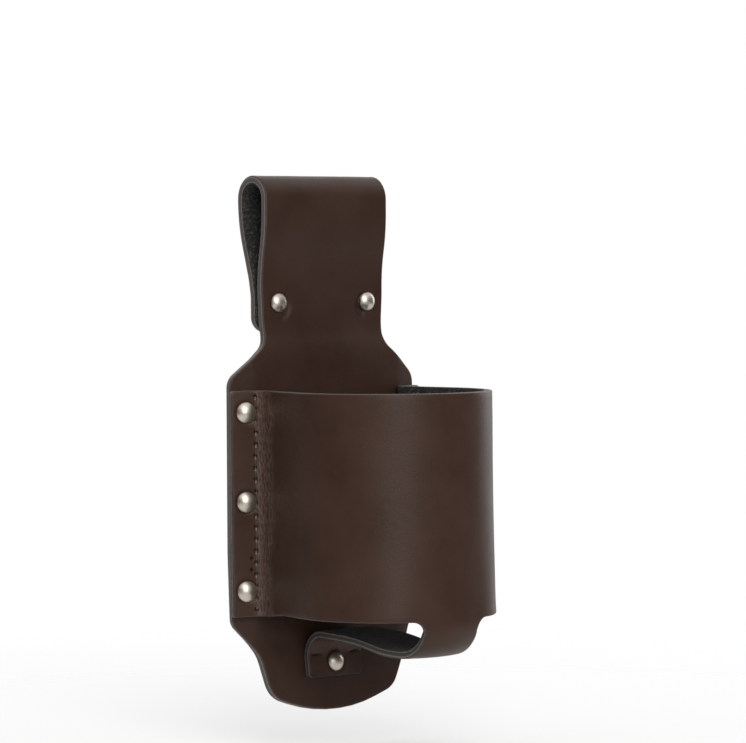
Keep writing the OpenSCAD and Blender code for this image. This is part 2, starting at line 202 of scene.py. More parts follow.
BAND_R = POCKET_R + BAND_T
PANEL_Y = POCKET_R + POCKET_GAP
CREASE_X = POCKET_R - WING_INSET
LOOP_TOP = BAND_H + LOOP_RISE
LOOP_RIVET_Z = BAND_H + LOOP_RIVET_RISE
LOOP_RIVET_X = STRIP_HALF_W - LOOP_RIVET_INSET
LOOP_R = LOOP_DEPTH / 2
LOOP_C_Z = LOOP_TOP - LOOP_R
LOOP_C_Y = PANEL_Y + STRIP_SET_BACK - LOOP_BULGE + LOOP_R
RIVET_Z = (FLANGE_RIVET_INSET, BAND_H / 2, BAND_H - FLANGE_RIVET_INSET)
MM = 0.001

# Colours. A dye has its dark, its light and its warm tone, a nap its dark and its light, and an edge
# its skin and its core
BAND_DYE = (0.0345, 0.0152, 0.0092), (0.0465, 0.0235, 0.0152), (0.047, 0.0195, 0.0108)
PANEL_DYE = (0.0315, 0.0142, 0.0089), (0.0415, 0.021, 0.0142), (0.042, 0.0178, 0.0103)
WORN_CREASE = (0.113, 0.077, 0.0595)
WORN_RIM = (0.09, 0.078, 0.072)
# Painted shade for the stitch holes, the tab's creases and its lower and right rims
PAINTED_SHADE_COLOR = (0.006, 0.003, 0.002)
BAND_NAP = (0.0085, 0.0077, 0.007), (0.018, 0.016, 0.0145)
PANEL_NAP = (0.0085, 0.008, 0.0075), (0.02, 0.0187, 0.017)
BAND_EDGE = (0.2, 0.18, 0.167), (0.055, 0.05, 0.046)
PANEL_EDGE = (0.205, 0.18, 0.165), (0.09, 0.08, 0.074)
THREAD = (0.026, 0.015, 0.0105), (0.062, 0.041, 0.03)
# A thread's painted glint, dark and light
THREAD_GLINT = (0.1, 0.072, 0.052), (0.34, 0.265, 0.21)
THREAD_FUZZ = (0.03, 0.018, 0.012)
CAP_NICKEL = (0.61, 0.55, 0.475)
BASE_NICKEL = (0.60, 0.555, 0.49)


def rad(a):
    return a * math.pi / 180


def cosd(a):
    return math.cos(rad(a))


def sind(a):
    return math.sin(rad(a))


def unit(a):
    """The direction at an angle in degrees."""
    return np.array([cosd(a), sind(a)])


def left_of(v):
    """A direction, or rows of them, turned a quarter to the left."""
    return np.stack([-v[..., 1], v[..., 0]], axis=-1)


def to_row(p):
    """Drawing frame in millimetres to the row frame in metres."""
    return (np.asarray(p, float) - np.array([0, LOOP_C_Y, LOOP_C_Z])) * MM


def smooth(t):
    t = np.clip(t, 0, 1)
    return t * t * (3 - 2 * t)


# Repeatable noise: value noise on a hashed lattice
HASH_X, HASH_Y, HASH_SEED, HASH_MIX = 374761393, 668265263, 1442695041, 1274126177
LOW_32, LOW_24 = 0xFFFFFFFF, 0xFFFFFF


def lattice(ix, iy, seed):
    h = (ix.astype(np.int64) * HASH_X + iy.astype(np.int64) * HASH_Y + seed * HASH_SEED) & LOW_32
    h = ((h ^ (h >> 13)) * HASH_MIX) & LOW_32
    h = h ^ (h >> 16)
    return (h & LOW_24) / float(LOW_24) * 2 - 1


def noise2(x, y, seed):
    x0 = np.floor(x)
    y0 = np.floor(y)
    fx = smooth(x - x0)
    fy = smooth(y - y0)
    a, b, c, d = (lattice(x0 + i, y0 + j, seed) for j in (0, 1) for i in (0, 1))
    return (a * (1 - fx) + b * fx) * (1 - fy) + (c * (1 - fx) + d * fx) * fy


def net(x, y, cell_w, cell_h, line_w, seed):
    """1 on the borders between the cells of a jittered lattice, and 0 away from them."""
    x = x / cell_w
    y = y / cell_h
    x0 = np.floor(x)
    y0 = np.floor(y)
    best = np.full(len(x), 9.0)
    second = best
    for i in (-1, 0, 1):
        for j in (-1, 0, 1):
            cx = x0 + i + 0.5 + 0.42 * lattice(x0 + i, y0 + j, seed)
            cy = y0 + j + 0.5 + 0.42 * lattice(x0 + i, y0 + j, seed + 1)
            d = np.hypot(x - cx, y - cy)
            second = np.where(d < best, best, np.minimum(second, d))
            best = np.minimum(best, d)
    return np.exp(-((second - best) / line_w) ** 2)


class Path:
    """A walk along one face. Each step is a length and a turn, in degrees."""

    def __init__(self, steps, start, heading):
        self.rows = []
        p = np.array(start, float)
        h = heading
        s = 0.0
        for length, turn in steps:
            self.rows.append((s, p.copy(), h, length, turn))
            p = self.move(p, h, length, turn)
            h += turn
            s += length
        self.rows.append((s, p.copy(), h, 0.0, 0.0))
        self.length = s

    @staticmethod
    def move(p, h, length, turn):
        """Where one step leads from p."""
        if turn == 0:
            return p + length * unit(h)
        (cos0, sin0), (cos1, sin1) = unit(h), unit(h + turn)
        return p + length / rad(turn) * np.array([sin1 - sin0, cos0 - cos1])

    def at(self, s):
        """Points, shape (n, 2), and headings in radians for an array of lengths."""
        pts = np.zeros((len(s), 2))
        head = np.zeros(len(s))
        starts = [row[0] for row in self.rows]
        step = np.maximum(np.searchsorted(starts, s, side="right") - 1, 0)
        for k in np.unique(step):
            s0, p, h, length, turn = self.rows[k]
            on = step == k
            d = s[on] - s0
            if turn == 0:
                pts[on] = p + d[:, None] * unit(h)
                head[on] = rad(h)
            else:
                r = length / rad(turn)
                g = rad(h) + d / r
                pts[on, 0] = p[0] + r * (np.sin(g) - sind(h))
                pts[on, 1] = p[1] + r * (cosd(h) - np.cos(g))
                head[on] = g
        return pts, head


def arc(r, turn):
    """The step of a path that turns with a radius r."""
    return (r * abs(rad(turn)), turn)


def s_bend(shift, h):
    a = 2 * math.degrees(math.atan(shift / h))
    r = h / 2 / math.sin(abs(rad(a)))
    return [arc(r, -a), arc(r, a)]


# Side view of the panel's front face
land_z = LOOP_RIVET_Z - RIVET_LAND_H / 2
set_back_z = land_z - SOFT_SET_BACK_H
bulge_top_z = land_z + RIVET_LAND_H + BULGE_H
rear_shift = LOOP_DEPTH - LOOP_BULGE - 2 * PANEL_T - FLAP_GAP
rear_r = SOFT_UPPER_R + SOFT_LOWER_R
rear_run = (rear_shift - rear_r * (1 - cosd(SOFT_SLOPE))) / sind(SOFT_SLOPE)
rear_drop = rear_r * sind(SOFT_SLOPE) + rear_run * cosd(SOFT_SLOPE)
flap_straight = LOOP_C_Z - rear_drop - (LOOP_RIVET_Z - SOFT_FLAP_L)
tongue_up = unit(TONGUE_LEAN)[::-1]
tongue_front = left_of(tongue_up)
tongue_apex = np.array([PANEL_Y, -CREASE_DROP])
bend_tangent = TONGUE_BEND_R * math.tan(rad(TONGUE_LEAN) / 2)
tongue_start_l = TONGUE_DROP - CREASE_DROP + 3
way_up = [(tongue_start_l - bend_tangent, 0), arc(TONGUE_BEND_R, TONGUE_LEAN)]
way_up += [(set_back_z - bend_tangent + CREASE_DROP, 0)] + s_bend(STRIP_SET_BACK, SOFT_SET_BACK_H)
way_up += [(RIVET_LAND_H, 0)] + s_bend(-LOOP_BULGE, BULGE_H)
way_back = [(LOOP_C_Z - bulge_top_z, 0), arc(LOOP_R, -180), arc(SOFT_UPPER_R, -SOFT_SLOPE)]
way_back += [(rear_run, 0), arc(SOFT_LOWER_R, SOFT_SLOPE), (flap_straight, 0)]
panel_path = Path(way_up + way_back, tongue_apex - tongue_start_l * tongue_up, 90 - TONGUE_LEAN)
PANEL_L = panel_path.length

# The panel's height on the way up, so that an outline drawn in height finds its length
up_s = np.linspace(0, sum(length for length, turn in way_up), 4000)
up_z = panel_path.at(up_s)[0][:, 1]


def s_of_z(z):
    return float(np.interp(z, up_z, up_s))


# Plan of the band's outer face on the right. The solid's fold goes first, and the real fold is
# rounder, between the same two straights
tuck = BAND_T / 54
fold_side = BAND_R - tuck + FOLD_R
fold_deep = FOLD_R + BAND_T
curl_dir = unit(WING_CURL)
curl_out = left_of(curl_dir)
lean_dir = unit(WALL_LEAN)
crease = np.array([CREASE_X, PANEL_Y])
wall_run = (curl_out @ crease - fold_deep - fold_side * sind(WALL_LEAN - WING_CURL))
wall_run = wall_run / cosd(WALL_LEAN - WING_CURL)
fold_c = fold_side * lean_dir + wall_run * left_of(lean_dir)
fold_s = curl_dir @ (fold_c - crease)
fold_turn = 90 + WALL_LEAN - WING_CURL
fold_grow = (SOFT_FOLD_R - FOLD_R) * math.tan(rad(fold_turn) / 2)
band_steps = [arc(BAND_R, 90 + WALL_LEAN), (wall_run - fold_grow, 0)]
band_steps += [arc(SOFT_FOLD_R, -fold_turn), (FLANGE_W - fold_grow, 0)]
band_path = Path(band_steps, (0, -BAND_R), 0)
U_FOLD = band_path.rows[2][0]
U_FLANGE = band_path.rows[3][0]
U_END = band_path.length
U_STITCH = U_END - FLANGE_W + STITCH_OUT
U_RIVET = U_END - FLANGE_W + FLANGE_RIVET_OUT
FOLD_SPAN = U_STITCH - U_FOLD
SEAM_X = CREASE_X + fold_s + STITCH_OUT
WING_W = fold_s + FLANGE_W
FLANGE_RIVET_S = fold_s + FLANGE_RIVET_OUT

# The bowl below the band, and the solid's strap, whose tab gives the rivet its place
LOW_R = BAND_R - STRAP_BEND_R
BOWL_L = STRAP_DROP + STRAP_BEND_R * math.pi / 2
# Below the band's edge, the leather nearer to the middle than this is bowl and strap
STRAP_REACH = 25.0
strap_start = np.array([-POCKET_R / 2, -STRAP_DROP - STRAP_BEND_R])


def run_to_tab(start, slope, bend):
    """The straight run that a bend needs before it, to lay the tab on the tongue, and the tab's top."""
    move = Path.move(np.zeros(2), slope, *bend)
    run = (BAND_T - (start + move - tongue_apex) @ tongue_front) / (unit(slope) @ tongue_front)
    return run, start + run * unit(slope) + move


ease_end = Path.move(strap_start, 0, *arc(STRAP_EASE_R, STRAP_RISE))
solid_bend = arc(TAB_BEND_R, -(90 + TONGUE_LEAN + STRAP_RISE))
tab_top = run_to_tab(ease_end, STRAP_RISE, solid_bend)[1]
tab_end_drop = (tongue_apex - tab_top) @ tongue_up + TAB_L
TAB_RIVET_DROP = tab_end_drop - TAB_RIVET_INSET

# The real strap climbs behind its low point, levels out, and bends softly into the tab
strap_steps = [arc(CLIMB_R, CLIMB), (CLIMB_L, 0), arc(LEVEL_R, LEVEL - CLIMB)]
level_start = Path(strap_steps, strap_start, 0).rows[-1][1]
soft_bend = arc(SOFT_BEND_R, -(90 + TONGUE_LEAN + LEVEL))
level_run, soft_top = run_to_tab(level_start, LEVEL, soft_bend)
soft_tab_l = tab_end_drop - TAB_TRIM - (tongue_apex - soft_top) @ tongue_up
strap_steps += [(level_run, 0), soft_bend, (soft_tab_l, 0)]
strap_path = Path(strap_steps, strap_start, 0)
Q_END = strap_path.length
Q_RIVET = Q_END - (TAB_RIVET_INSET - TAB_TRIM)
Q_BEND_END = Q_END - soft_tab_l


def corner(p0, p1, p2):
    """Rounds the corner p1 = (x, y, radius) between its neighbours."""
    b = np.array(p1[:2], float)
    if p1[2] == 0:
        return [b]
    u = np.array(p0[:2], float) - b
    u = u / np.linalg.norm(u)
    v = np.array(p2[:2], float) - b
    v = v / np.linalg.norm(v)
    half = math.acos(float(u @ v)) / 2
    c = b + (u + v) / np.linalg.norm(u + v) * p1[2] / math.sin(half)
    s = b + u * p1[2] / math.tan(half)
    a0 = math.atan2(s[1] - c[1], s[0] - c[0])
    turn = (math.pi - 2 * half) * (-1 if u[0] * v[1] - u[1] * v[0] > 0 else 1)
    n = max(2, int(math.ceil(abs(math.degrees(turn)) / CORNER_STEP)))
    angles = a0 + turn * np.arange(n + 1) / n
    return [c + p1[2] * np.array([math.cos(a), math.sin(a)]) for a in angles]


def rounded(c):
    pts = []
    for i in range(len(c)):
        pts += corner(c[i - 1], c[i], c[(i + 1) % len(c)])
    return np.array(pts)


def resample(loop, step):
    """Points about one step apart along a closed line."""
    loop = np.vstack([loop, loop[:1]])
    d = np.linalg.norm(np.diff(loop, axis=0), axis=1)
    s = np.concatenate([[0], np.cumsum(d)])
    t = np.linspace(0, s[-1], int(round(s[-1] / step)) + 1)
    return np.column_stack([np.interp(t, s, loop[:, 0]), np.interp(t, s, loop[:, 1])])[:-1]


def inset(loop, d):
    """Moves a closed line to its left by d, which is inwards where it runs anticlockwise."""
    e = np.roll(loop, -1, axis=0) - np.roll(loop, 1, axis=0)
    return loop + d * left_of(e / np.linalg.norm(e, axis=1)[:, None])


def anticlockwise(loop):
    x, y = loop[:, 0], loop[:, 1]
    return np.sum(x * np.roll(y, -1) - np.roll(x, -1) * y) > 0


def inside(pts, loop):
    """Which points lie inside a closed line."""
    x, y = pts[:, 0], pts[:, 1]
    r = np.zeros(len(pts), bool)
    for (x0, y0), (x1, y1) in zip(loop, np.roll(loop, -1, axis=0)):
        if y0 != y1:
            r ^= ((y0 > y) != (y1 > y)) & (x < x0 + (y - y0) * (x1 - x0) / (y1 - y0))
    return r


def line_distance(pts, loop, reach=6.0):
    """Distance of each point from a closed line, up to reach."""
    best = np.full(len(pts), reach)
    for p, q in zip(loop, np.roll(loop, -1, axis=0)):
        lo = np.minimum(p, q) - reach
        hi = np.maximum(p, q) + reach
        near = np.where(np.all((pts > lo) & (pts < hi), axis=1))[0]
        if len(near) > 0:
            v = pts[near] - p
            e = q - p
            t = np.clip(v @ e / (e @ e), 0, 1)
            best[near] = np.minimum(best[near], np.linalg.norm(v - t[:, None] * e, axis=1))
    return best


def add_object(name, data):
    obj = bpy.data.objects.new(name, data)
    bpy.context.scene.collection.objects.link(obj)
    return obj


def add_piece(name, verts, faces, materials, fields):
    """A smooth-shaded mesh from points in the drawing frame, with fields of values on its points."""
    mesh = bpy.data.meshes.new(name)
    mesh.from_pydata(to_row(verts).tolist(), [], faces)
    mesh.polygons.foreach_set("use_smooth", np.ones(len(faces), bool))
    for field, values in fields.items():
        values = np.asarray(values, np.float32)
        kind, key = ("FLOAT", "value") if values.ndim == 1 else ("FLOAT_VECTOR", "vector")
        mesh.attributes.new(field, kind, "POINT").data.foreach_set(key, values.ravel())
    for material in materials:
        mesh.materials.append(material)
    mesh.update()
    return add_object(name, mesh)


def build_sheet(name, loop, holes, interior, place, thickness, materials, relief):
    """A thick leather sheet from its flat outline.

    loop and holes are closed lines in the flat, interior the points inside, and place maps flat
    coordinates and a depth below the grain face to the drawing frame. relief gives, at flat points,
    how far the grain face and the flesh face rise outwards, how worn the grain is and how much
    painted shade a place gets in stitch holes, creases and hidden rims. The materials are those of the
    grain, the flesh and the cut edges.
    """
    loop = loop if anticlockwise(loop) else loop[::-1]
    holes = [h[::-1] if anticlockwise(h) else h for h in holes]
    lines = [loop] + holes
    pts = []
    edges = []
    dist = []

    def add_ring(ring, d):
        k = len(pts)
        n = len(ring)
        pts.extend(ring.tolist())
        dist.extend([d] * n)
        edges.extend([(k + i, k + (i + 1) % n) for i in range(n)])
        return np.arange(k, k + n)

    def in_sheet(p):
        return inside(p, loop) & ~np.any([inside(p, h) for h in holes], axis=0)

    rims = [add_ring(line, 0.0) for line in lines]
    for line in lines:
        for d in RING_STEPS:
            add_ring(inset(line, d), d)
    near = np.min([line_distance(interior, line) for line in lines], axis=0)
    good = in_sheet(interior) & (near > RING_STEPS[-1] + RING_CLEAR)
    pts.extend(interior[good].tolist())
    dist.extend(near[good].tolist())
    found = delaunay_2d_cdt([Vector(p) for p in pts], edges, [], 0, 1e-5)
    tri = np.array([list(f) for f in found[2]], int)
    # which of the points each found one is, and the other way round
    origin = np.array([o[0] for o in found[3]], int)
    back = np.zeros(len(pts), int)
    back[origin] = np.arange(len(origin))
    flat = np.array(pts)[origin]
    rim = np.array(dist)[origin]
    tri = tri[in_sheet(flat[tri].mean(axis=1))]
    a = flat[tri[:, 1]] - flat[tri[:, 0]]
    b = flat[tri[:, 2]] - flat[tri[:, 0]]
    turn = a[:, 0] * b[:, 1] - a[:, 1] * b[:, 0]
    tri[turn < 0] = tri[turn < 0][:, ::-1]

    # the grain face, the flesh face, and then rows down each cut edge
    n = len(flat)
    x, y = flat[:, 0], flat[:, 1]
    drop = np.where(rim < RIM_R, RIM_R - np.sqrt(np.maximum(RIM_R ** 2 - (RIM_R - rim) ** 2, 0)), 0)
    rise_g, rise_f, wear, pit = relief(x, y, rim)
    rows = [(place(x, y, drop - rise_g), flat, drop, rim, wear, pit)]
    rows += [(place(x, y, thickness - drop + rise_f), flat, thickness - drop, rim, wear * 0, pit)]
    faces = tri.tolist() + (tri[:, ::-1] + n).tolist()
    kinds = [0] * len(tri) + [1] * len(tri)
    count = 2 * n
    for rim_line in rims:
        ring = back[rim_line]
        m = len(ring)
        levels = [ring]
        for r in range(1, EDGE_ROWS):
            t = np.full(m, RIM_R + (thickness - 2 * RIM_R) * r / EDGE_ROWS)
            out = inset(flat[ring], -EDGE_BELLY * math.sin(math.pi * r / EDGE_ROWS))
            rows.append((place(out[:, 0], out[:, 1], t), flat[ring], t) + (np.zeros(m),) * 3)
            levels.append(np.arange(count, count + m))
            count += m
        levels.append(ring + n)
        for lo, hi in zip(levels[:-1], levels[1:]):
            quads = np.column_stack([np.roll(lo, -1), lo, hi, np.roll(hi, -1)])
            faces += quads.tolist()
            kinds += [2] * m
    verts, flats, depth, rim, wear, pit = (np.concatenate(part) for part in zip(*rows))
    fields = {"flat": np.column_stack([flats, depth]), "rim": rim, "layer": depth / thickness}
    fields |= {"wear": wear, "pit": pit}
    obj = add_piece(name, verts, faces, materials, fields)
    obj.data.polygons.foreach_set("material_index", np.array(kinds, np.int32))
    return obj


def grid(x0, x1, dx, y0, y1, dy):
    """A lattice with every other row moved by half a step."""
    xs = np.arange(x0, x1 + dx / 2, dx)
    ys = np.arange(y0, y1 + dy / 2, dy)
    gx, gy = np.meshgrid(xs, ys)
    gx = gx + (np.arange(len(ys)) % 2)[:, None] * dx / 2
    return np.column_stack([gx.ravel(), gy.ravel()])


def mirror_grid(*sizes):
    g = grid(*sizes)
    return [g * (-1, 1), g]


def rivet_hole(x, y, sides=28):
    a = np.arange(sides) * 2 * math.pi / sides
    return np.column_stack([x + HOLE_R * np.cos(a), y + HOLE_R * np.sin(a)])


def stitch_holes(z, out=0.0):
    """Holes at the heights z, in the seam's small wobble, each with its way outwards and its height."""
    wobble = STITCH_WOBBLE * noise2(z / 6.3, np.full(len(z), 0.5), 31)
    return list(zip(out + wobble, z))


HOLE_Z = BAND_H - STITCH_TOP_DROP - STITCH_PITCH * np.arange(STITCH_HOLES)
HOLES = stitch_holes(HOLE_Z)
TACK_HOLES = stitch_holes(HOLE_Z[14:16] + TACK_UP, TACK_OUT)


def cap_swell(d, r):
    """The leather dips under a set rivet's rim and bulges a little just outside it."""
    t = np.clip((d - r) / 0.9, 0, None)
    return np.where(d > r, 0.2 * t * np.exp(1 - t), 0.0) - 0.16 * np.exp(-((d - r) / 0.3) ** 2)


def stitch_dents(out_u, v):
    """Depth of the stitch holes and the thread's groove, and the painted shade that darkens the inside of a
    hole.
    """
    dent, pit = np.zeros((2, len(v)))
    near = np.abs(out_u) < 3
    x = out_u[near]
    z = v[near]
    d = GROOVE_DEPTH * np.exp(-(x / GROOVE_W) ** 2) * (z > HOLE_Z[-1]) * (z < HOLE_Z[0])
    p = np.zeros(len(x))
    for hx, hz in HOLES + TACK_HOLES:
        q = (x - hx) ** 2 + ((z - hz) / 1.15) ** 2
        d += PRICK_DEPTH * np.exp(-q / PRICK_R ** 2)
        # painted shade inside each hole
        p = np.maximum(p, np.exp(-q / PRICK_SHADE_R ** 2))
    dent[near] = d
    pit[near] = p
    return dent, pit


# The front band. Its flat coordinates are the way round from the middle and the height
def band_place(u, v, w):
    side = np.where(u < 0, -1.0, 1.0)
    au = np.abs(u)
    # the band stands out a little towards its lower front corners
    droop = np.clip((BAND_H - v) / BAND_H, 0, 1) ** 2.5
    corner_in = smooth((au - 8) / 14) * (1 - smooth((au - 42) / 18))
    w = w - FLARE * droop * corner_in * (1 - smooth(-v / 10))
    p, h = band_path.at(au)
    out = np.column_stack([side * (p[:, 0] - w * np.sin(h)), p[:, 1] + w * np.cos(h), v])
    # below its edge the leather turns in as a bowl, and runs on as the strap
    low = (v < 0) & (au <= STRAP_REACH)
    s = -v[low]
    w = w[low]
    phi = u[low] / BAND_R
    turn = np.clip((s - STRAP_DROP) / STRAP_BEND_R, 0, math.pi / 2)
    r = BAND_R - STRAP_BEND_R * (1 - np.cos(turn)) - w * np.cos(turn)
    z = -np.minimum(s, STRAP_DROP) - STRAP_BEND_R * np.sin(turn) + w * np.sin(turn)
    past = s > BOWL_L
    x = np.where(past, LOW_R * np.sin(phi), r * np.sin(phi))
    y = np.where(past, -LOW_R * np.cos(phi) + (s - BOWL_L), -r * np.cos(phi))
    q = y - strap_start[0]
    on = past & (q > 0)
    p, h = strap_path.at(q[on])
    y[on] = p[:, 0] - w[on] * np.sin(h)
    z[on] = p[:, 1] + w[on] * np.cos(h)
    out[low] = np.column_stack([x, y, z])
    return out


def strap_v(x, q):
    """Flat coordinates of the strap at a distance x from its middle and a length q from its start."""
    phi = math.asin(x / LOW_R)
    y = q + strap_start[0]
    return BAND_R * phi, -(y + LOW_R * math.cos(phi) + BOWL_L)


def band_outline():
    # the lower edge dips towards the flanges
    pts = [(U_FOLD - 10, 0, 14), (U_FOLD + 1, 0.25 - FLANGE_DIP, 12), (U_END - 0.5, -FLANGE_DIP, 0.8)]
    pts += [(U_END, BAND_H, FLANGE_CORNER_R)]
    pts += [(-a, b, r) for a, b, r in reversed(pts)]
    loop = rounded(pts)
    # the strap's right edge, from the fillet under the band to the middle of the tab's end
    half = STRAP_W / 2
    edge = []
    f = STRAP_FILLET_R
    for a in np.linspace(0, 90, 12):
        edge.append((BAND_R * math.asin((half + f - f * sind(a)) / BAND_R), f * cosd(a) - f))
    for s in np.linspace(f, BOWL_L, 22)[1:]:
        turn = min(max((s - STRAP_DROP) / STRAP_BEND_R, 0), math.pi / 2)
        r = BAND_R - STRAP_BEND_R * (1 - math.cos(turn))
        edge.append((BAND_R * math.asin(half / r), -s))
    q0 = -LOW_R * math.cos(math.asin(half / LOW_R)) - strap_start[0]
    r = TAB_CORNER_R
    for q in np.linspace(q0, Q_END - r, 50)[1:]:
        edge.append(strap_v(half, q))
    for a in np.linspace(0, 90, 8)[1:]:
        edge.append(strap_v(half - r + r * cosd(a), Q_END - r + r * sind(a)))
    for x in np.linspace(half - r, 0, 9)[1:]:
        edge.append(strap_v(x, Q_END))
    left = [(-u, v) for u, v in edge[:-1]]
    return np.vstack([loop, np.array(left), np.array(edge[::-1])])


def band_relief(u, v, rim):
    g, f, wear, pit = np.zeros((4, len(u)))
    au = np.abs(u)
    side = np.where(u < 0, -1.0, 1.0)
    soft_rim = smooth(rim / 3.0)
    wall = (v > 0) | (au > STRAP_REACH)
    # compression wrinkles from the seam over the fold and on to the wall, where they end raggedly
    d = U_STITCH - au
    ragged = 1.5 * noise2(v / 8.0, side, 42) + 0.7 * noise2(v / 2.7, side, 43)
    zone = smooth((d + 0.2) / 0.7) * (1 - smooth((d - WRINKLE_REACH - ragged) / WRINKLE_FADE)) * wall
    for z in RIVET_Z:
        away = np.hypot(d - 0.2, v - z + 3.4)
        zone = np.maximum(zone, 0.9 * np.exp(-(away / 1.9) ** 2) * (d > -2.2) * wall)
    k = zone > 0.01
    # they stand wider apart on the wall
    x = np.where(d < FOLD_SPAN, d, FOLD_SPAN + WALL_SPREAD * (d - FOLD_SPAN))[k]
    y = v[k] + 100 * (u[k] > 0)
    warp = 0.5 * noise2(y / 4.0, x / 3.0, 11) + 0.2 * noise2(y / 1.6, x / 1.4, 12)
    coarse = net(x + warp, y, *COARSE_NET, 13)
    thin = net(x + 1.3 * warp, y, *THIN_NET, 41)
    pillow = noise2((x + warp) / 1.8, y / 7.0, 16)
    g[k] += zone[k] * smooth(rim[k] / 0.8) * (0.15 * coarse + 0.08 * thin + 0.07 * pillow)
    wear[k] = zone[k] * np.clip(0.14 + 0.5 * coarse + 0.36 * thin + 0.12 * pillow, 0, 1)
    # the whole sheet is a little uneven
    calm = smooth((U_FOLD - 4 - au) / 8) * wall
    g += calm * soft_rim * (0.11 * noise2(u / 17.0, v / 21.0, 15) + 0.03 * noise2(u / 6.0, v / 7.0, 17))
    # rivets and seam
    for z in RIVET_Z:
        d = np.hypot(au - U_RIVET, v - z)
        g += cap_swell(d, FLANGE_CAP_R) * smooth(rim / 0.6) * (au > U_FLANGE - 3)
    dent, hole_shade = stitch_dents(au - U_STITCH, v)
    g -= dent * wall
    # painted shade in the stitch holes
    pit = np.maximum(pit, hole_shade * wall)
    # the strap and its tab: the tab's rivet presses the start of the bend flat
    tab = v < -BOWL_L
    x = LOW_R * np.sin(u / BAND_R)
    q = -LOW_R * np.cos(u / BAND_R) + (-v - BOWL_L) - strap_start[0]
    d = np.hypot(x, q - Q_RIVET)
    g += tab * cap_swell(d, SMALL_CAP_R) * smooth(rim / 0.6)
    bend_lift = np.clip(Q_BEND_END - q, 0, 6) ** 2 / 2 / SOFT_BEND_R
    g -= tab * bend_lift * (1 - smooth((d - SMALL_CAP_R) / 1.6))
    # two short creases beside the rivet, with painted shade along them
    crease_q = Q_RIVET - TAB_CREASE_UP + 0.35 * side * noise2(x / 2.2, x * 0, 32)
    line = np.exp(-((np.abs(x) - TAB_CREASE_X) / TAB_CREASE_HALF_L) ** 4) * smooth(rim / 0.5) * tab
    line = line * np.exp(-((q - crease_q) / TAB_CREASE_W) ** 2)
    g -= TAB_CREASE_DEPTH * line
    # painted shade darkens the tab's lower and right rims, so that they hardly show
    shaded_rims = np.maximum(smooth((q - Q_END + 2.0) / 1.0), smooth((q - Q_BEND_END + 2.0) / 2.0) * (x > 9))
    painted_rim_shade = 0.75 * shaded_rims * (1 - smooth((rim - 0.3) / 0.5)) * tab
    pit = np.maximum(pit, np.maximum(line, painted_rim_shade))
    g += tab * 0.12 * smooth((q - 4) / 12) * soft_rim * noise2(x / 6.0, q / 7.0, 18)
    # short fibres of the flesh face
    f += 0.05 * noise2(u / 1.4, v / 1.4, 19) * smooth(rim / 0.5)
    return g, f, wear, pit


def band_interior():
    top = BAND_H - 0.5
    low = 0.3 - FLANGE_DIP
    seam_in = U_STITCH - 1.0
    seam_out = U_STITCH + TACK_OUT + 0.8
    wrinkled = U_FOLD - 6.2
    parts = [grid(-wrinkled + 0.6, wrinkled - 0.6, 1.35, 0.6, top, 1.25)]
    parts += mirror_grid(wrinkled, U_FOLD, 0.27, low, top, 0.4)
    parts += mirror_grid(U_FOLD + 0.17, seam_in - 0.15, 0.165, low, top, 0.34)
    parts += mirror_grid(seam_in, seam_out, 0.18, low, top, 0.26)
    parts += mirror_grid(seam_out + 0.3, U_END - 0.5, 0.5, low, top, 0.5)
    # finer where the two creases beside the tab's rivet are
    v0 = strap_v(0, Q_RIVET - 1.5)[1]
    v1 = strap_v(10, Q_RIVET - 4.5)[1]
    parts += [grid(-24, 24, 0.95, -125, v0 - 0.5, 0.85), grid(-24, 24, 0.95, v1 + 0.5, -0.4, 0.85)]
    parts += [grid(-18, 18, 0.5, v0, v1, 0.28)]
    return np.vstack(parts)


# The back panel. Its flat coordinates are the way out from the middle and the length along the path
S_RIVET = s_of_z(LOOP_RIVET_Z)
S_FLAP_RIVET = PANEL_L - SOFT_FLAP_L
S_TAB_RIVET = tongue_start_l - TAB_RIVET_DROP
S_BAND0 = s_of_z(0.0)


def panel_place(x, s, w):
    p, h = panel_path.at(s)
    side = np.where(x < 0, -1.0, 1.0)
    ax = np.abs(x)
    # the flap opens a little outside its rivets
    opened = smooth((s - PANEL_L + SOFT_FLAP_L + 9) / 7)
    opened = opened * np.clip((ax - LOOP_RIVET_X - 1) / 5.8, 0, 1) ** 1.5
    w = w - FLAP_OPENS * opened
    # the wings turn back at a soft crease
    curl = rad(WING_CURL)
    start = CREASE_X - SOFT_CREASE_R * math.tan(curl / 2)
    a = np.clip((ax - start) / SOFT_CREASE_R, 0, curl)
    past = np.clip(ax - start - SOFT_CREASE_R * curl, 0, None)
    base_x = np.minimum(ax, start) + SOFT_CREASE_R * np.sin(a) + past * math.cos(curl) - w * np.sin(a)
    depth = SOFT_CREASE_R * (1 - np.cos(a)) + past * math.sin(curl) + w * np.cos(a)
    return np.column_stack([side * base_x, p[:, 0] + depth * np.sin(h), p[:, 1] - depth * np.cos(h)])


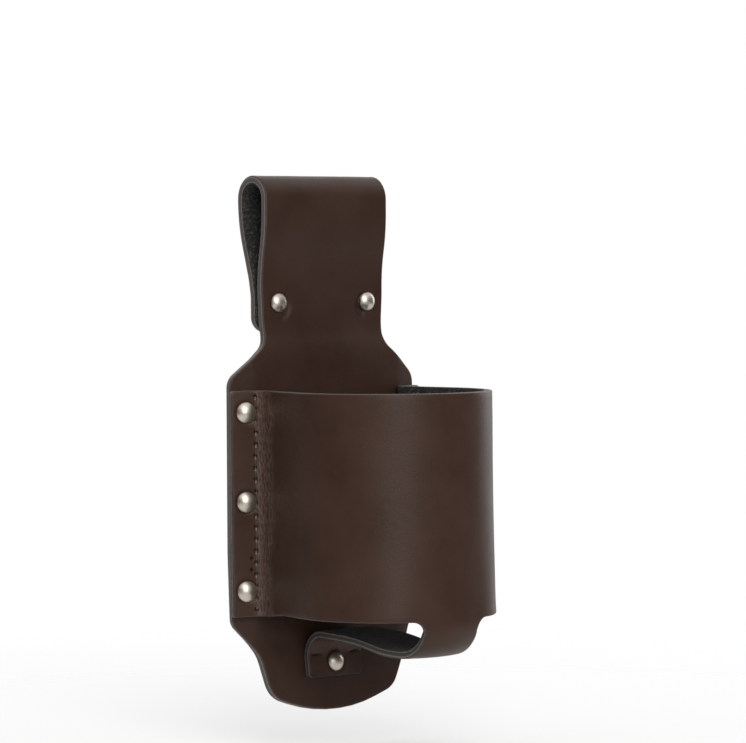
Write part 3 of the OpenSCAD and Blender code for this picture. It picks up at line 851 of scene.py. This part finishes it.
def panel_outline():
    tip_slope = math.asin(TONGUE_HALF_W / TONGUE_TIP_R) / 1.5
    tip_reach = TONGUE_TIP_R * (1 / math.cos(tip_slope) - 1)
    corner_drop = TONGUE_DROP + tip_reach - TONGUE_HALF_W * math.tan(tip_slope)
    wing = CREASE_X + WING_W - WING_TRIM

    def half(tip_x, notch, lean, sag):
        """Corners up one side, from the tongue's tip to the strip."""
        knee = [(wing, LEAN_FROM, LEAN_R)] if lean else []
        low = [(tip_x, -corner_drop, TONGUE_CORNER_R), notch, (wing - lean, -WING_DROP - sag, WING_CORNER_R)]
        return low + knee + [
            (wing, BAND_H + SHOULDER_RISE - SHOULDER_SAG, SHOULDER_R),
            (STRIP_HALF_W - WAIST_TRIM, BAND_H + WAIST_RISE - SHOULDER_SAG, WAIST_R),
            (STRIP_HALF_W, LOOP_RIVET_Z + 3, STRIP_EASE_R)]

    top = 130.0
    notch_x = TONGUE_HALF_W + TONGUE_TAPER
    right_notch = (notch_x + RIGHT_NOTCH_OUT, -NOTCH_DROP - RIGHT_NOTCH_DOWN, RIGHT_NOTCH_R)
    left_notch = (notch_x - LEFT_TRIM, -NOTCH_DROP, NOTCH_R)
    pts = [(0, -TONGUE_DROP - tip_reach, TONGUE_TIP_R)]
    pts += half(TONGUE_HALF_W, right_notch, 0, WING_SAG)
    pts += [(STRIP_HALF_W, top, 0), (-STRIP_HALF_W, top, 0)]
    left = half(TONGUE_HALF_W - LEFT_TRIM, left_notch, LEFT_LEAN, LEFT_SAG)
    pts += [(-a, b, r) for a, b, r in reversed(left)]
    loop = rounded(pts)
    # from the left waist down round the tongue and up to the right waist, then over the loop
    below = loop[:, 1] < top - 1e-6
    loop = np.roll(loop, -(np.where(~below)[0][-1] + 1), axis=0)[: below.sum()]
    flat = [(x, s_of_z(z)) for x, z in loop]
    r = FLAP_CORNER_R
    flap = []
    for sign, first in ((1, 0), (-1, 90)):
        for a in np.linspace(first, first + 90, 14):
            x, y = r * unit(a)
            flap.append((sign * (STRIP_HALF_W - r) + x, PANEL_L - r + y))
    return np.array(flat + [(STRIP_HALF_W, s_of_z(top))] + flap + [(-STRIP_HALF_W, s_of_z(top))])


def panel_relief(x, s, rim):
    g, f, wear = np.zeros((3, len(x)))
    ax = np.abs(x)
    v = s - S_BAND0
    # the strip, the shoulders and the tongue are a little uneven
    free = smooth((v - BAND_H - 3) / 10) + smooth((-4 - v) / 8)
    uneven = 0.12 * noise2(x / 15.0, s / 19.0, 21) + 0.03 * noise2(x / 5.0, s / 6.0, 22)
    g += smooth(rim / 3.0) * free * uneven
    for sx in (-LOOP_RIVET_X, LOOP_RIVET_X):
        d = np.hypot(x - sx, s - S_RIVET)
        g += cap_swell(d, SMALL_CAP_R) * 1.3
        # a set rivet draws the strip in beside it, on the side of the middle, before a soft ridge
        inward = LOOP_RIVET_X - ax
        reach = np.hypot(inward - 0.7, (s - S_RIVET + 1.4) / 1.1)
        hollow = smooth((d - 2.4) / 0.8) * smooth((inward - 0.2) / 2.0)
        hollow = hollow * (1 - smooth((reach - HOLLOW_R) / HOLLOW_FADE))
        ridge = np.hypot((inward - RIDGE_IN) / 1.9, (s - S_RIVET + 2.0) / 3.4)
        g += (RIDGE_RISE * np.exp(-ridge ** 2) - HOLLOW_DEPTH * hollow) * (x * sx > 0)
        g += cap_swell(np.hypot(x - sx, s - S_FLAP_RIVET), SMALL_CAP_R)
    # short fibres of the flesh face
    f += 0.07 * noise2(x / 1.3, s / 1.3, 23) * smooth(rim / 0.5)
    # the stitch holes' dents, and the painted shade inside them
    dent, pit = stitch_dents(ax - SEAM_X, v)
    f -= dent
    for z in RIVET_Z:
        d = np.hypot(ax - (CREASE_X + FLANGE_RIVET_S), v - z)
        f += cap_swell(d, FLANGE_CAP_R) * smooth(rim / 0.6)
    return g, f, wear, pit


def panel_interior():
    waist_s = s_of_z(BAND_H + WAIST_RISE + 4)
    parts = [grid(-CREASE_X + 1, CREASE_X - 1, 1.0, 0.4, waist_s, 0.95)]
    # the strip, finer beside its two rivets
    strip = grid(-STRIP_HALF_W + 0.3, STRIP_HALF_W - 0.3, 0.9, waist_s + 0.9, PANEL_L - 0.3, 0.75)
    across = np.abs(np.abs(strip[:, 0]) - LOOP_RIVET_X + 4)
    along = np.abs(strip[:, 1] - S_RIVET + 1.3)
    parts += [strip[(across >= 2.7) | (along >= 4.3)]]
    parts += mirror_grid(LOOP_RIVET_X - 6.3, LOOP_RIVET_X - 1.7, 0.3, S_RIVET - 5.2, S_RIVET + 2.6, 0.35)
    # the wings, finer along the seam
    parts += mirror_grid(CREASE_X - 0.5, SEAM_X - 0.9, 0.36, 0.4, waist_s, 0.5)
    parts += mirror_grid(SEAM_X - 0.7, SEAM_X + 2.1, 0.17, S_BAND0 + 1, S_BAND0 + BAND_H - 0.5, 0.2)
    parts += mirror_grid(SEAM_X + 2.35, CREASE_X + WING_W, 0.36, 0.4, waist_s, 0.5)
    return np.vstack(parts)


class Nodes:
    """Short names for building the node tree of a material or of the world."""

    def __init__(self, owner):
        owner.use_nodes = True
        self.owner = owner
        self.tree = owner.node_tree

    def put(self, socket, value):
        """Puts a number, a vector, a colour or another node's output into a socket."""
        if isinstance(value, bpy.types.NodeSocket):
            self.tree.links.new(value, socket)
        elif socket.type == "RGBA":
            socket.default_value = (*value, 1)
        else:
            socket.default_value = value

    def node(self, kind, sockets=None, **props):
        n = self.tree.nodes.new(kind)
        for key, value in props.items():
            setattr(n, key, value)
        for key, value in (sockets or {}).items():
            self.put(n.inputs[key], value)
        return n

    def shade(self, color, rough, sockets):
        """Fills the shader's sockets and gives back the material."""
        for key, value in {"Base Color": color, "Roughness": rough, **sockets}.items():
            self.put(self.tree.nodes["Principled BSDF"].inputs[key], value)
        return self.owner

    def coords(self, kind):
        return self.node("ShaderNodeTexCoord").outputs[kind]

    def attribute(self, name, out="Fac"):
        return self.node("ShaderNodeAttribute", attribute_name=name).outputs[out]

    def vector_math(self, op, a, b=(0, 0, 0)):
        return self.node("ShaderNodeVectorMath", {0: a, 1: b}, operation=op)

    def scaled(self, vector, scale):
        return self.vector_math("MULTIPLY", vector, scale).outputs[0]

    def noise(self, vector, scale, detail, rough):
        sockets = {"Vector": vector, "Scale": scale, "Detail": detail, "Roughness": rough}
        return self.node("ShaderNodeTexNoise", sockets).outputs["Fac"]

    def cells(self, vector, scale):
        return self.node("ShaderNodeTexVoronoi", {"Vector": vector, "Scale": scale}).outputs["Distance"]

    def fit(self, value, lo, hi, a=0.0, b=1.0, **props):
        sockets = {"Value": value, "From Min": lo, "From Max": hi, "To Min": a, "To Max": b}
        return self.node("ShaderNodeMapRange", sockets, **props).outputs["Result"]

    def mix(self, fac, a, b):
        return self.node("ShaderNodeMix", {0: fac, 6: a, 7: b}, data_type="RGBA").outputs[2]

    def math(self, op, a, b):
        return self.node("ShaderNodeMath", {0: a, 1: b}, operation=op).outputs[0]

    def bump(self, height, strength, distance, under=None):
        sockets = {"Strength": strength, "Distance": distance, "Height": height}
        if under is not None:
            sockets["Normal"] = under
        return self.node("ShaderNodeBump", sockets).outputs["Normal"]


def toned(color, share):
    return tuple(c * share for c in color)


def grain_leather(name, dark, light, warm):
    """Smooth dyed grain: a satin face with fine pores, cloudy dye, worn creases, worn rims and painted shade
    in holes and creases.
    """
    m = Nodes(bpy.data.materials.new(name))
    flat = m.attribute("flat", "Vector")
    rim = m.attribute("rim")
    wear = m.attribute("wear")
    clouds = m.noise(flat, 0.045, 3.0, 0.5)
    mottle = m.noise(flat, 0.35, 5.0, 0.62)
    fine = m.noise(flat, 2.6, 3.0, 0.6)
    pores = m.cells(flat, 2.1)
    color = m.mix(m.fit(clouds, 0.35, 0.65), dark, light)
    color = m.mix(m.fit(mottle, 0.38, 0.72, 0.0, 0.6), color, warm)
    color = m.mix(m.fit(fine, 0.45, 0.7, 0.0, 0.3), color, toned(dark, 0.6))
    color = m.mix(m.fit(pores, 0.0, 0.16, 0.5, 0.0), color, toned(dark, 0.45))
    rubbed = m.math("MULTIPLY", wear, m.fit(mottle, 0.3, 0.65, 0.5, 1.0))
    color = m.mix(m.fit(rubbed, 0.0, 0.9, 0.0, 0.85), color, WORN_CREASE)
    worn = m.math("MULTIPLY", m.fit(rim, 0.05, 0.5, 0.5, 0.0), m.fit(mottle, 0.3, 0.6, 0.55, 1.0))
    color = m.mix(worn, color, WORN_RIM)
    # painted shade in stitch holes, creases and the tab's rims
    color = m.mix(m.fit(m.attribute("pit"), 0.15, 0.8), color, PAINTED_SHADE_COLOR)
    rough = m.math("ADD", m.fit(clouds, 0.3, 0.7, 0.38, 0.46), m.fit(fine, 0.3, 0.7, 0.0, 0.08))
    rough = m.math("ADD", rough, m.fit(wear, 0.0, 1.0, 0.0, 0.08))
    n = m.bump(m.fit(pores, 0.04, 0.3), 0.22, 0.00006)
    n = m.bump(m.noise(flat, 1.1, 4.0, 0.62), 0.34, 0.00018, n)
    n = m.bump(fine, 0.24, 0.00005, n)
    return m.shade(color, rough, {"Normal": n, "Specular IOR Level": 0.24})


def suede(name, dark, light):
    """The unfinished inner face: a grey-black nap with paler fibres."""
    m = Nodes(bpy.data.materials.new(name))
    flat = m.attribute("flat", "Vector")
    clumps = m.noise(flat, 1.0, 5.0, 0.7)
    nap = m.noise(flat, 3.2, 6.0, 0.75)
    color = m.mix(m.fit(m.noise(flat, 0.3, 4.0, 0.65), 0.35, 0.65), dark, light)
    color = m.mix(m.fit(clumps, 0.5, 0.64, 0.0, 0.9), color, toned(light, 4.0))
    color = m.mix(m.fit(nap, 0.5, 0.7, 0.0, 0.55), color, toned(light, 4.5))
    color = m.mix(m.fit(clumps, 0.3, 0.45, 0.8, 0.0), color, toned(dark, 0.4))
    n = m.bump(nap, 0.8, 0.00025, m.bump(clumps, 0.7, 0.0005))
    sheen = {"Sheen Weight": 0.08, "Sheen Roughness": 0.6}
    return m.shade(color, 0.92, {"Normal": n, "Specular IOR Level": 0.1, **sheen})


def cut_edge(name, skin, core):
    """The burnished cut edge: paler borders and a darker, fibrous core."""
    m = Nodes(bpy.data.materials.new(name))
    flat = m.attribute("flat", "Vector")
    fibre = m.noise(m.scaled(flat, (1.0, 1.0, 5.0)), 0.9, 5.0, 0.7)
    speck = m.noise(flat, 3.0, 4.0, 0.7)
    border = m.math("ABSOLUTE", m.math("SUBTRACT", m.attribute("layer"), 0.52), 0.0)
    border = m.math("ADD", border, m.fit(fibre, 0.3, 0.7, -0.11, 0.11))
    color = m.mix(m.fit(border, 0.16, 0.3), core, skin)
    color = m.mix(m.fit(speck, 0.45, 0.75, 0.0, 0.5), color, toned(core, 0.45))
    rough = m.fit(speck, 0.3, 0.7, 0.48, 0.66)
    n = m.bump(speck, 0.4, 0.00006, m.bump(fibre, 0.5, 0.00014))
    return m.shade(color, rough, {"Normal": n, "Specular IOR Level": 0.25})


def thread_material():
    """Waxed brown thread with a twisted lay and a painted glint near the start of each stitch."""
    m = Nodes(bpy.data.materials.new("waxed_thread"))
    co = m.coords("Object")
    sockets = {"Scale": 900.0, "Distortion": 1.5, "Vector": co}
    lay = m.node("ShaderNodeTexWave", sockets, wave_type="BANDS", bands_direction="DIAGONAL").outputs["Fac"]
    fuzz = m.noise(co, 2500.0, 3.0, 0.6)
    share = m.fit(lay, 0.2, 0.8)
    # painted highlight: the foot field mixes in the glint colours
    color = m.mix(m.attribute("foot"), m.mix(share, *THREAD), m.mix(share, *THREAD_GLINT))
    color = m.mix(m.fit(fuzz, 0.4, 0.75, 0.0, 0.5), color, THREAD_FUZZ)
    rough = m.fit(fuzz, 0.3, 0.7, 0.42, 0.6)
    return m.shade(color, rough, {"Normal": m.bump(lay, 0.6, 0.00008)})


def nickel(name, color, dull):
    """Satin nickel plate with fine handling marks and a darker foot."""
    m = Nodes(bpy.data.materials.new(name))
    co = m.coords("Object")
    haze = m.noise(co, 220.0, 3.0, 0.5)
    marks = m.noise(m.scaled(co, (1.0, 1.0, 0.25)), 3200.0, 3.0, 0.7)
    c = m.mix(m.fit(haze, 0.35, 0.7), color, toned(color, 0.9))
    c = m.mix(m.fit(marks, 0.55, 0.8, 0.0, 0.2), c, toned(color, 0.65))
    c = m.mix(m.fit(m.attribute("foot"), 0.0, 1.0, 0.0, 0.7), c, toned(color, 0.4))
    rough = m.math("ADD", m.fit(haze, 0.3, 0.7, dull - 0.02, dull + 0.03), m.fit(marks, 0.4, 0.8, 0.0, 0.05))
    return m.shade(c, rough, {"Metallic": 1.0, "Normal": m.bump(marks, 0.12, 0.00001)})


band_materials = [grain_leather("band_grain", *BAND_DYE), suede("band_flesh", *BAND_NAP)]
band_materials += [cut_edge("band_edge", *BAND_EDGE)]
panel_materials = [grain_leather("panel_grain", *PANEL_DYE), suede("panel_flesh", *PANEL_NAP)]
panel_materials += [cut_edge("panel_edge", *PANEL_EDGE)]
thread_mat = thread_material()
cap_mat = nickel("cap_nickel", CAP_NICKEL, 0.38)
base_mat = nickel("base_nickel", BASE_NICKEL, 0.42)

# The two leather pieces
band_holes = [rivet_hole(side * U_RIVET, z) for side in (-1, 1) for z in RIVET_Z]
band_holes += [rivet_hole(0, 0) * (BAND_R / LOW_R, 1) + (0, strap_v(0, Q_RIVET)[1])]
band = build_sheet(
    "band_leather", resample(band_outline(), 0.7), band_holes, band_interior(), band_place, BAND_T,
    band_materials, band_relief)

panel_holes = []
for side in (-1, 1):
    panel_holes += [rivet_hole(side * (CREASE_X + FLANGE_RIVET_S), S_BAND0 + z) for z in RIVET_Z]
    panel_holes += [rivet_hole(side * LOOP_RIVET_X, s) for s in (S_RIVET, S_FLAP_RIVET)]
panel_holes += [rivet_hole(0, S_TAB_RIVET)]
panel = build_sheet(
    "panel_leather", resample(panel_outline(), 0.62), panel_holes, panel_interior(), panel_place, PANEL_T,
    panel_materials, panel_relief)


# Seam threads: each stitch lies in the groove and dives into a hole at both ends
def tube(pts, radius, sides=8):
    n = len(pts)
    tan = np.gradient(pts, axis=0)
    tan = tan / np.linalg.norm(tan, axis=1)[:, None]
    ang = np.arange(sides) * 2 * math.pi / sides
    rings = []
    for p, t in zip(pts, tan):
        a = np.cross(t, (1.0, 0.3, 0.1))
        a = a / np.linalg.norm(a)
        b = np.cross(t, a)
        rings.append(p + radius * (np.cos(ang)[:, None] * a + np.sin(ang)[:, None] * b))
    faces = []
    for i in range(n - 1):
        for j in range(sides):
            k = (j + 1) % sides
            faces.append([i * sides + j, i * sides + k, (i + 1) * sides + k, (i + 1) * sides + j])
    faces.append(list(range(sides))[::-1])
    faces.append([(n - 1) * sides + j for j in range(sides)])
    return np.vstack(rings), faces


def seam(name, side):
    verts = []
    faces = []
    glint = []

    def stitch(p0, p1, on_band):
        t = np.linspace(0, 1, 15)
        out_u = p0[0] + (p1[0] - p0[0]) * t
        z = p0[1] + (p1[1] - p0[1]) * t
        rise = np.clip(np.sin(math.pi * t) * 3.4, 0, 1)
        if on_band:
            # the thread lies sunk in the groove, its top about level with the grain
            p = band_place(side * (U_STITCH + out_u), z, 1.0 - 0.88 * rise + 0.06 * np.sin(math.pi * t))
        else:
            p = panel_place(side * (SEAM_X + out_u), S_BAND0 + z, PANEL_T - 1.0 + 1.05 * rise)
        v, f = tube(p, THREAD_R)
        base = sum(len(w) for w in verts)
        verts.append(v)
        faces.extend([[i + base for i in q] for q in f])
        # the foot field places a painted glint just past the start of each stitch
        glint.extend(np.repeat(np.exp(-((t - 0.24) / 0.1) ** 2), len(v) // len(t)))

    for h0, h1 in zip(HOLES[:-1], HOLES[1:]):
        stitch(h0, h1, True)
        stitch(h0, h1, False)
    stitch(*TACK_HOLES, False)
    # the thread's end comes back up beside the lowest hole
    stitch(HOLES[-1], (HOLES[-1][0] - 1.1, HOLES[-1][1] + 1.9), True)
    return add_piece(name, np.vstack(verts), faces, [thread_mat], {"foot": glint})


# Rivets: a domed cap with its post, and a flatter base with the tube that grips the post
RIVET_SIDES = 56
ROLL_R = 0.14
ROLL_UP = 0.12
FOOT_IN = 0.2


def revolve(profile, seat, axis):
    """Turns a profile of (radius, height) round an axis that stands on seat."""
    sides = RIVET_SIDES
    a = np.cross((0.0, 0.0, 1.0), axis)
    a = a / np.linalg.norm(a)
    b = np.cross(axis, a)
    ang = np.arange(sides) * 2 * math.pi / sides
    ring_dir = np.cos(ang)[:, None] * a + np.sin(ang)[:, None] * b
    verts = []
    faces = []
    rows = []
    for r, h in profile:
        rows.append(sum(len(v) for v in verts))
        verts.append(seat + h * axis + r * ring_dir[:1 if r == 0 else sides])
    for i in range(len(profile) - 1):
        for j in range(sides):
            k = (j + 1) % sides
            if profile[i][0] == 0:
                faces.append([rows[i], rows[i + 1] + j, rows[i + 1] + k])
            elif profile[i + 1][0] == 0:
                faces.append([rows[i] + j, rows[i + 1], rows[i] + k])
            else:
                faces.append([rows[i] + j, rows[i + 1] + j, rows[i + 1] + k, rows[i] + k])
    return np.vstack(verts), faces


def dome_profile(r, dome):
    """From the top of the dome down to its rolled foot."""
    ball_r = (r * r + dome * dome) / 2 / dome
    reach = math.asin((r - ROLL_UP) / ball_r)
    pts = [(0, RIM_H + dome)]
    for a in np.linspace(0, reach, 20)[1:]:
        pts.append((ball_r * math.sin(a), RIM_H + dome - ball_r + ball_r * math.cos(a)))
    for a in np.linspace(90 - math.degrees(reach), -90, 10):
        pts.append((r - ROLL_R + ROLL_R * cosd(a), ROLL_R + ROLL_UP + ROLL_R * sind(a)))
    return pts


def rivet(name, seat, axis, r, stack):
    """Both halves of a set rivet. The cap stands on seat, and the leather below is stack thick."""
    axis = np.asarray(axis, float)
    axis = axis / np.linalg.norm(axis)
    post = [(r - FOOT_IN, 0.0), (POST_R + 0.3, 0.0), (POST_R, -ROOT_CHAMFER), (POST_R, POST_CHAMFER - stack)]
    post += [(POST_R - POST_CHAMFER, -stack), (0, -stack)]
    tube_end = stack * TUBE_SHARE - stack
    bore_r = POST_R + BORE_PLAY
    sleeve = [(r - FOOT_IN, -stack), (TUBE_R + ROOT_CHAMFER, -stack), (TUBE_R, ROOT_CHAMFER - stack)]
    sleeve += [(TUBE_R, tube_end), (bore_r, tube_end), (bore_r, BORE_END - stack), (0, BORE_END - stack)]
    cap = dome_profile(r, DOME_H)
    base = [(x, -stack - h) for x, h in dome_profile(r, BACK_DOME_H)]
    for suffix, dome, shank, material, slot in (
            ("cap", cap, post, cap_mat, "rivet_cap"), ("base", base, sleeve, base_mat, "rivet_base")):
        verts, faces = revolve(dome + shank, seat, axis)
        if suffix == "base":
            faces = [f[::-1] for f in faces]
        # the plate's colour is darker from the rolled foot on
        foot = [min(1, max(0, (x - r + 0.35) / 0.3)) for x, h in dome] + [1.0] * len(shank)
        field = []
        for (x, h), value in zip(dome + shank, foot):
            field += [value] * (1 if x == 0 else RIVET_SIDES)
        obj = add_piece(name + "_" + suffix, verts, faces, [material], {"foot": field})
        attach(obj, "root")
        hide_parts(name + "_rivet_" + suffix)


threads = [seam("left_seam_thread", -1), seam("right_seam_thread", 1)]

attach(band, "root")
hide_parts("front_band")
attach(panel, "root")
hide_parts("back_panel")
for t in threads:
    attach(t, "root")

sheets_t = BAND_T + PANEL_T
wing_at = crease + FLANGE_RIVET_S * curl_dir - BAND_T * curl_out
for side, side_name in ((-1, "left"), (1, "right")):
    for z, level_name in zip(RIVET_Z, ("low", "mid", "top")):
        seat = np.array([side * wing_at[0], wing_at[1], z])
        axis = (-side * curl_out[0], -curl_out[1], 0)
        rivet(side_name + "_" + level_name, seat, axis, FLANGE_CAP_R, sheets_t)
    seat = np.array([side * LOOP_RIVET_X, PANEL_Y + STRIP_SET_BACK, LOOP_RIVET_Z])
    rivet(side_name + "_loop", seat, (0, -1, 0), SMALL_CAP_R, 2 * PANEL_T + FLAP_GAP)
tab_at = tongue_apex - TAB_RIVET_DROP * tongue_up + BAND_T * tongue_front
rivet("tab", np.array([0, *tab_at]), (0, *tongue_front), SMALL_CAP_R, sheets_t)

# Camera at the photograph's viewing angle, fitted in the photograph's frame
IMAGE_W = 746
CAMERA_AT = (-0.7658625, -0.9789118, -0.0181907)
azimuth, pitch, roll = rad(39.021), rad(-2.1905), rad(-0.288)
right = Vector((math.cos(azimuth), -math.sin(azimuth), 0))
forward = Vector((math.sin(azimuth) * math.cos(pitch), math.cos(azimuth) * math.cos(pitch), math.sin(pitch)))
above = right.cross(forward)
right_r = right * math.cos(roll) + above * math.sin(roll)
above_r = above * math.cos(roll) - right * math.sin(roll)
cam_data = bpy.data.cameras.new("camera")
cam_data.sensor_fit = "HORIZONTAL"
cam_data.sensor_width = 36.0
cam_data.lens = 180.06
cam_data.shift_x = -4.624 / IMAGE_W
cam_data.shift_y = 25.139 / IMAGE_W
cam_data.clip_end = 50.0
cam = add_object("camera", cam_data)
turn = Matrix((right_r, above_r, -forward)).transposed()
cam.matrix_world = Matrix.Translation(CAMERA_AT) @ turn.to_4x4()
bpy.context.scene.camera = cam

# Plain pale floor that fades into the white of the world
FLOOR_GAP = 0.012
FLOOR_R = 0.9
floor_mesh = bpy.data.meshes.new("floor")
bm = bmesh.new()
bmesh.ops.create_circle(bm, cap_ends=True, radius=FLOOR_R, segments=96)
bm.to_mesh(floor_mesh)
bm.free()
floor = add_object("floor", floor_mesh)
floor.location = (0.0, -0.04, cad_box[0][2] - FLOOR_GAP)
fm = Nodes(bpy.data.materials.new("floor"))
pale = fm.tree.nodes["Principled BSDF"]
away = fm.vector_math("LENGTH", fm.coords("Object")).outputs["Value"]
fade = fm.fit(away, 0.05, 0.42, 0.4, 1.0)
clear = fm.node("ShaderNodeBsdfTransparent")
blend = fm.node("ShaderNodeMixShader", {0: fade, 1: pale.outputs[0], 2: clear.outputs[0]})
fm.put(fm.tree.nodes["Material Output"].inputs["Surface"], blend.outputs[0])
floor.data.materials.append(fm.shade((0.93, 0.93, 0.93), 0.9, {"Specular IOR Level": 0.0}))

# World: white for what the camera and reflections see, softer for its light. Reflections find the
# room dimmer at the horizon, except where the backdrop stands.
BACKDROP = (0.629, 0.777, 0.0)
ROOM_DIMS = 0.92
WORLD_LIGHT = 0.5
world = bpy.data.worlds.new("world")
bpy.context.scene.world = world
w = Nodes(world)
soft = {"interpolation_type": "SMOOTHSTEP"}
paths = w.node("ShaderNodeLightPath").outputs
way = w.coords("Generated")
up = w.node("ShaderNodeSeparateXYZ", {0: way}).outputs["Z"]
facing = w.vector_math("DOT_PRODUCT", way, BACKDROP).outputs["Value"]
high = w.fit(up, 0.2, 0.95, 1.0, 0.0, **soft)
at_horizon = w.math("MULTIPLY", high, w.fit(up, -0.5, -0.1, 0.0, 1.0, **soft))
room = w.math("MULTIPLY", w.fit(facing, 0.45, 0.9, 1.0, 0.0, **soft), at_horizon)
mirrored = w.math("MAXIMUM", paths["Is Glossy Ray"], paths["Is Transmission Ray"])
dimmed = w.math("SUBTRACT", 1.0, w.math("MULTIPLY", room, ROOM_DIMS))
shown = w.math("MAXIMUM", paths["Is Camera Ray"], w.math("MULTIPLY", mirrored, dimmed))
plain = w.math("SUBTRACT", 1.0, w.math("MAXIMUM", paths["Is Camera Ray"], mirrored))
strength = w.math("ADD", shown, w.math("MULTIPLY", plain, WORLD_LIGHT))
background = w.tree.nodes["Background"]
w.put(background.inputs["Strength"], strength)
w.put(background.inputs["Color"], (1, 1, 1))

# Soft studio lamps: place, size in metres and power in watts
LAMPS = {
    "key": ((-0.43, -0.94, 0.36), (0.62, 1.0), 8.8),
    "top": ((-0.35, -0.45, 1.0), (0.7, 0.7), 0.3),
    "right": ((0.95, 0.10, 0.30), (0.4, 0.9), 2.8),
    "back": ((0.15, 0.75, 0.75), (0.9, 0.6), 3.5),
}
AIM = Vector((0, -0.02, -0.08))
for name, (place, size, power) in LAMPS.items():
    data = bpy.data.lights.new(name, "AREA")
    data.shape = "RECTANGLE"
    data.size, data.size_y = size
    data.energy = power
    lamp = add_object(name, data)
    lamp.location = place
    lamp.rotation_euler = (AIM - Vector(place)).to_track_quat("-Z", "Y").to_euler()

bpy.context.scene.view_settings.view_transform = "Standard"
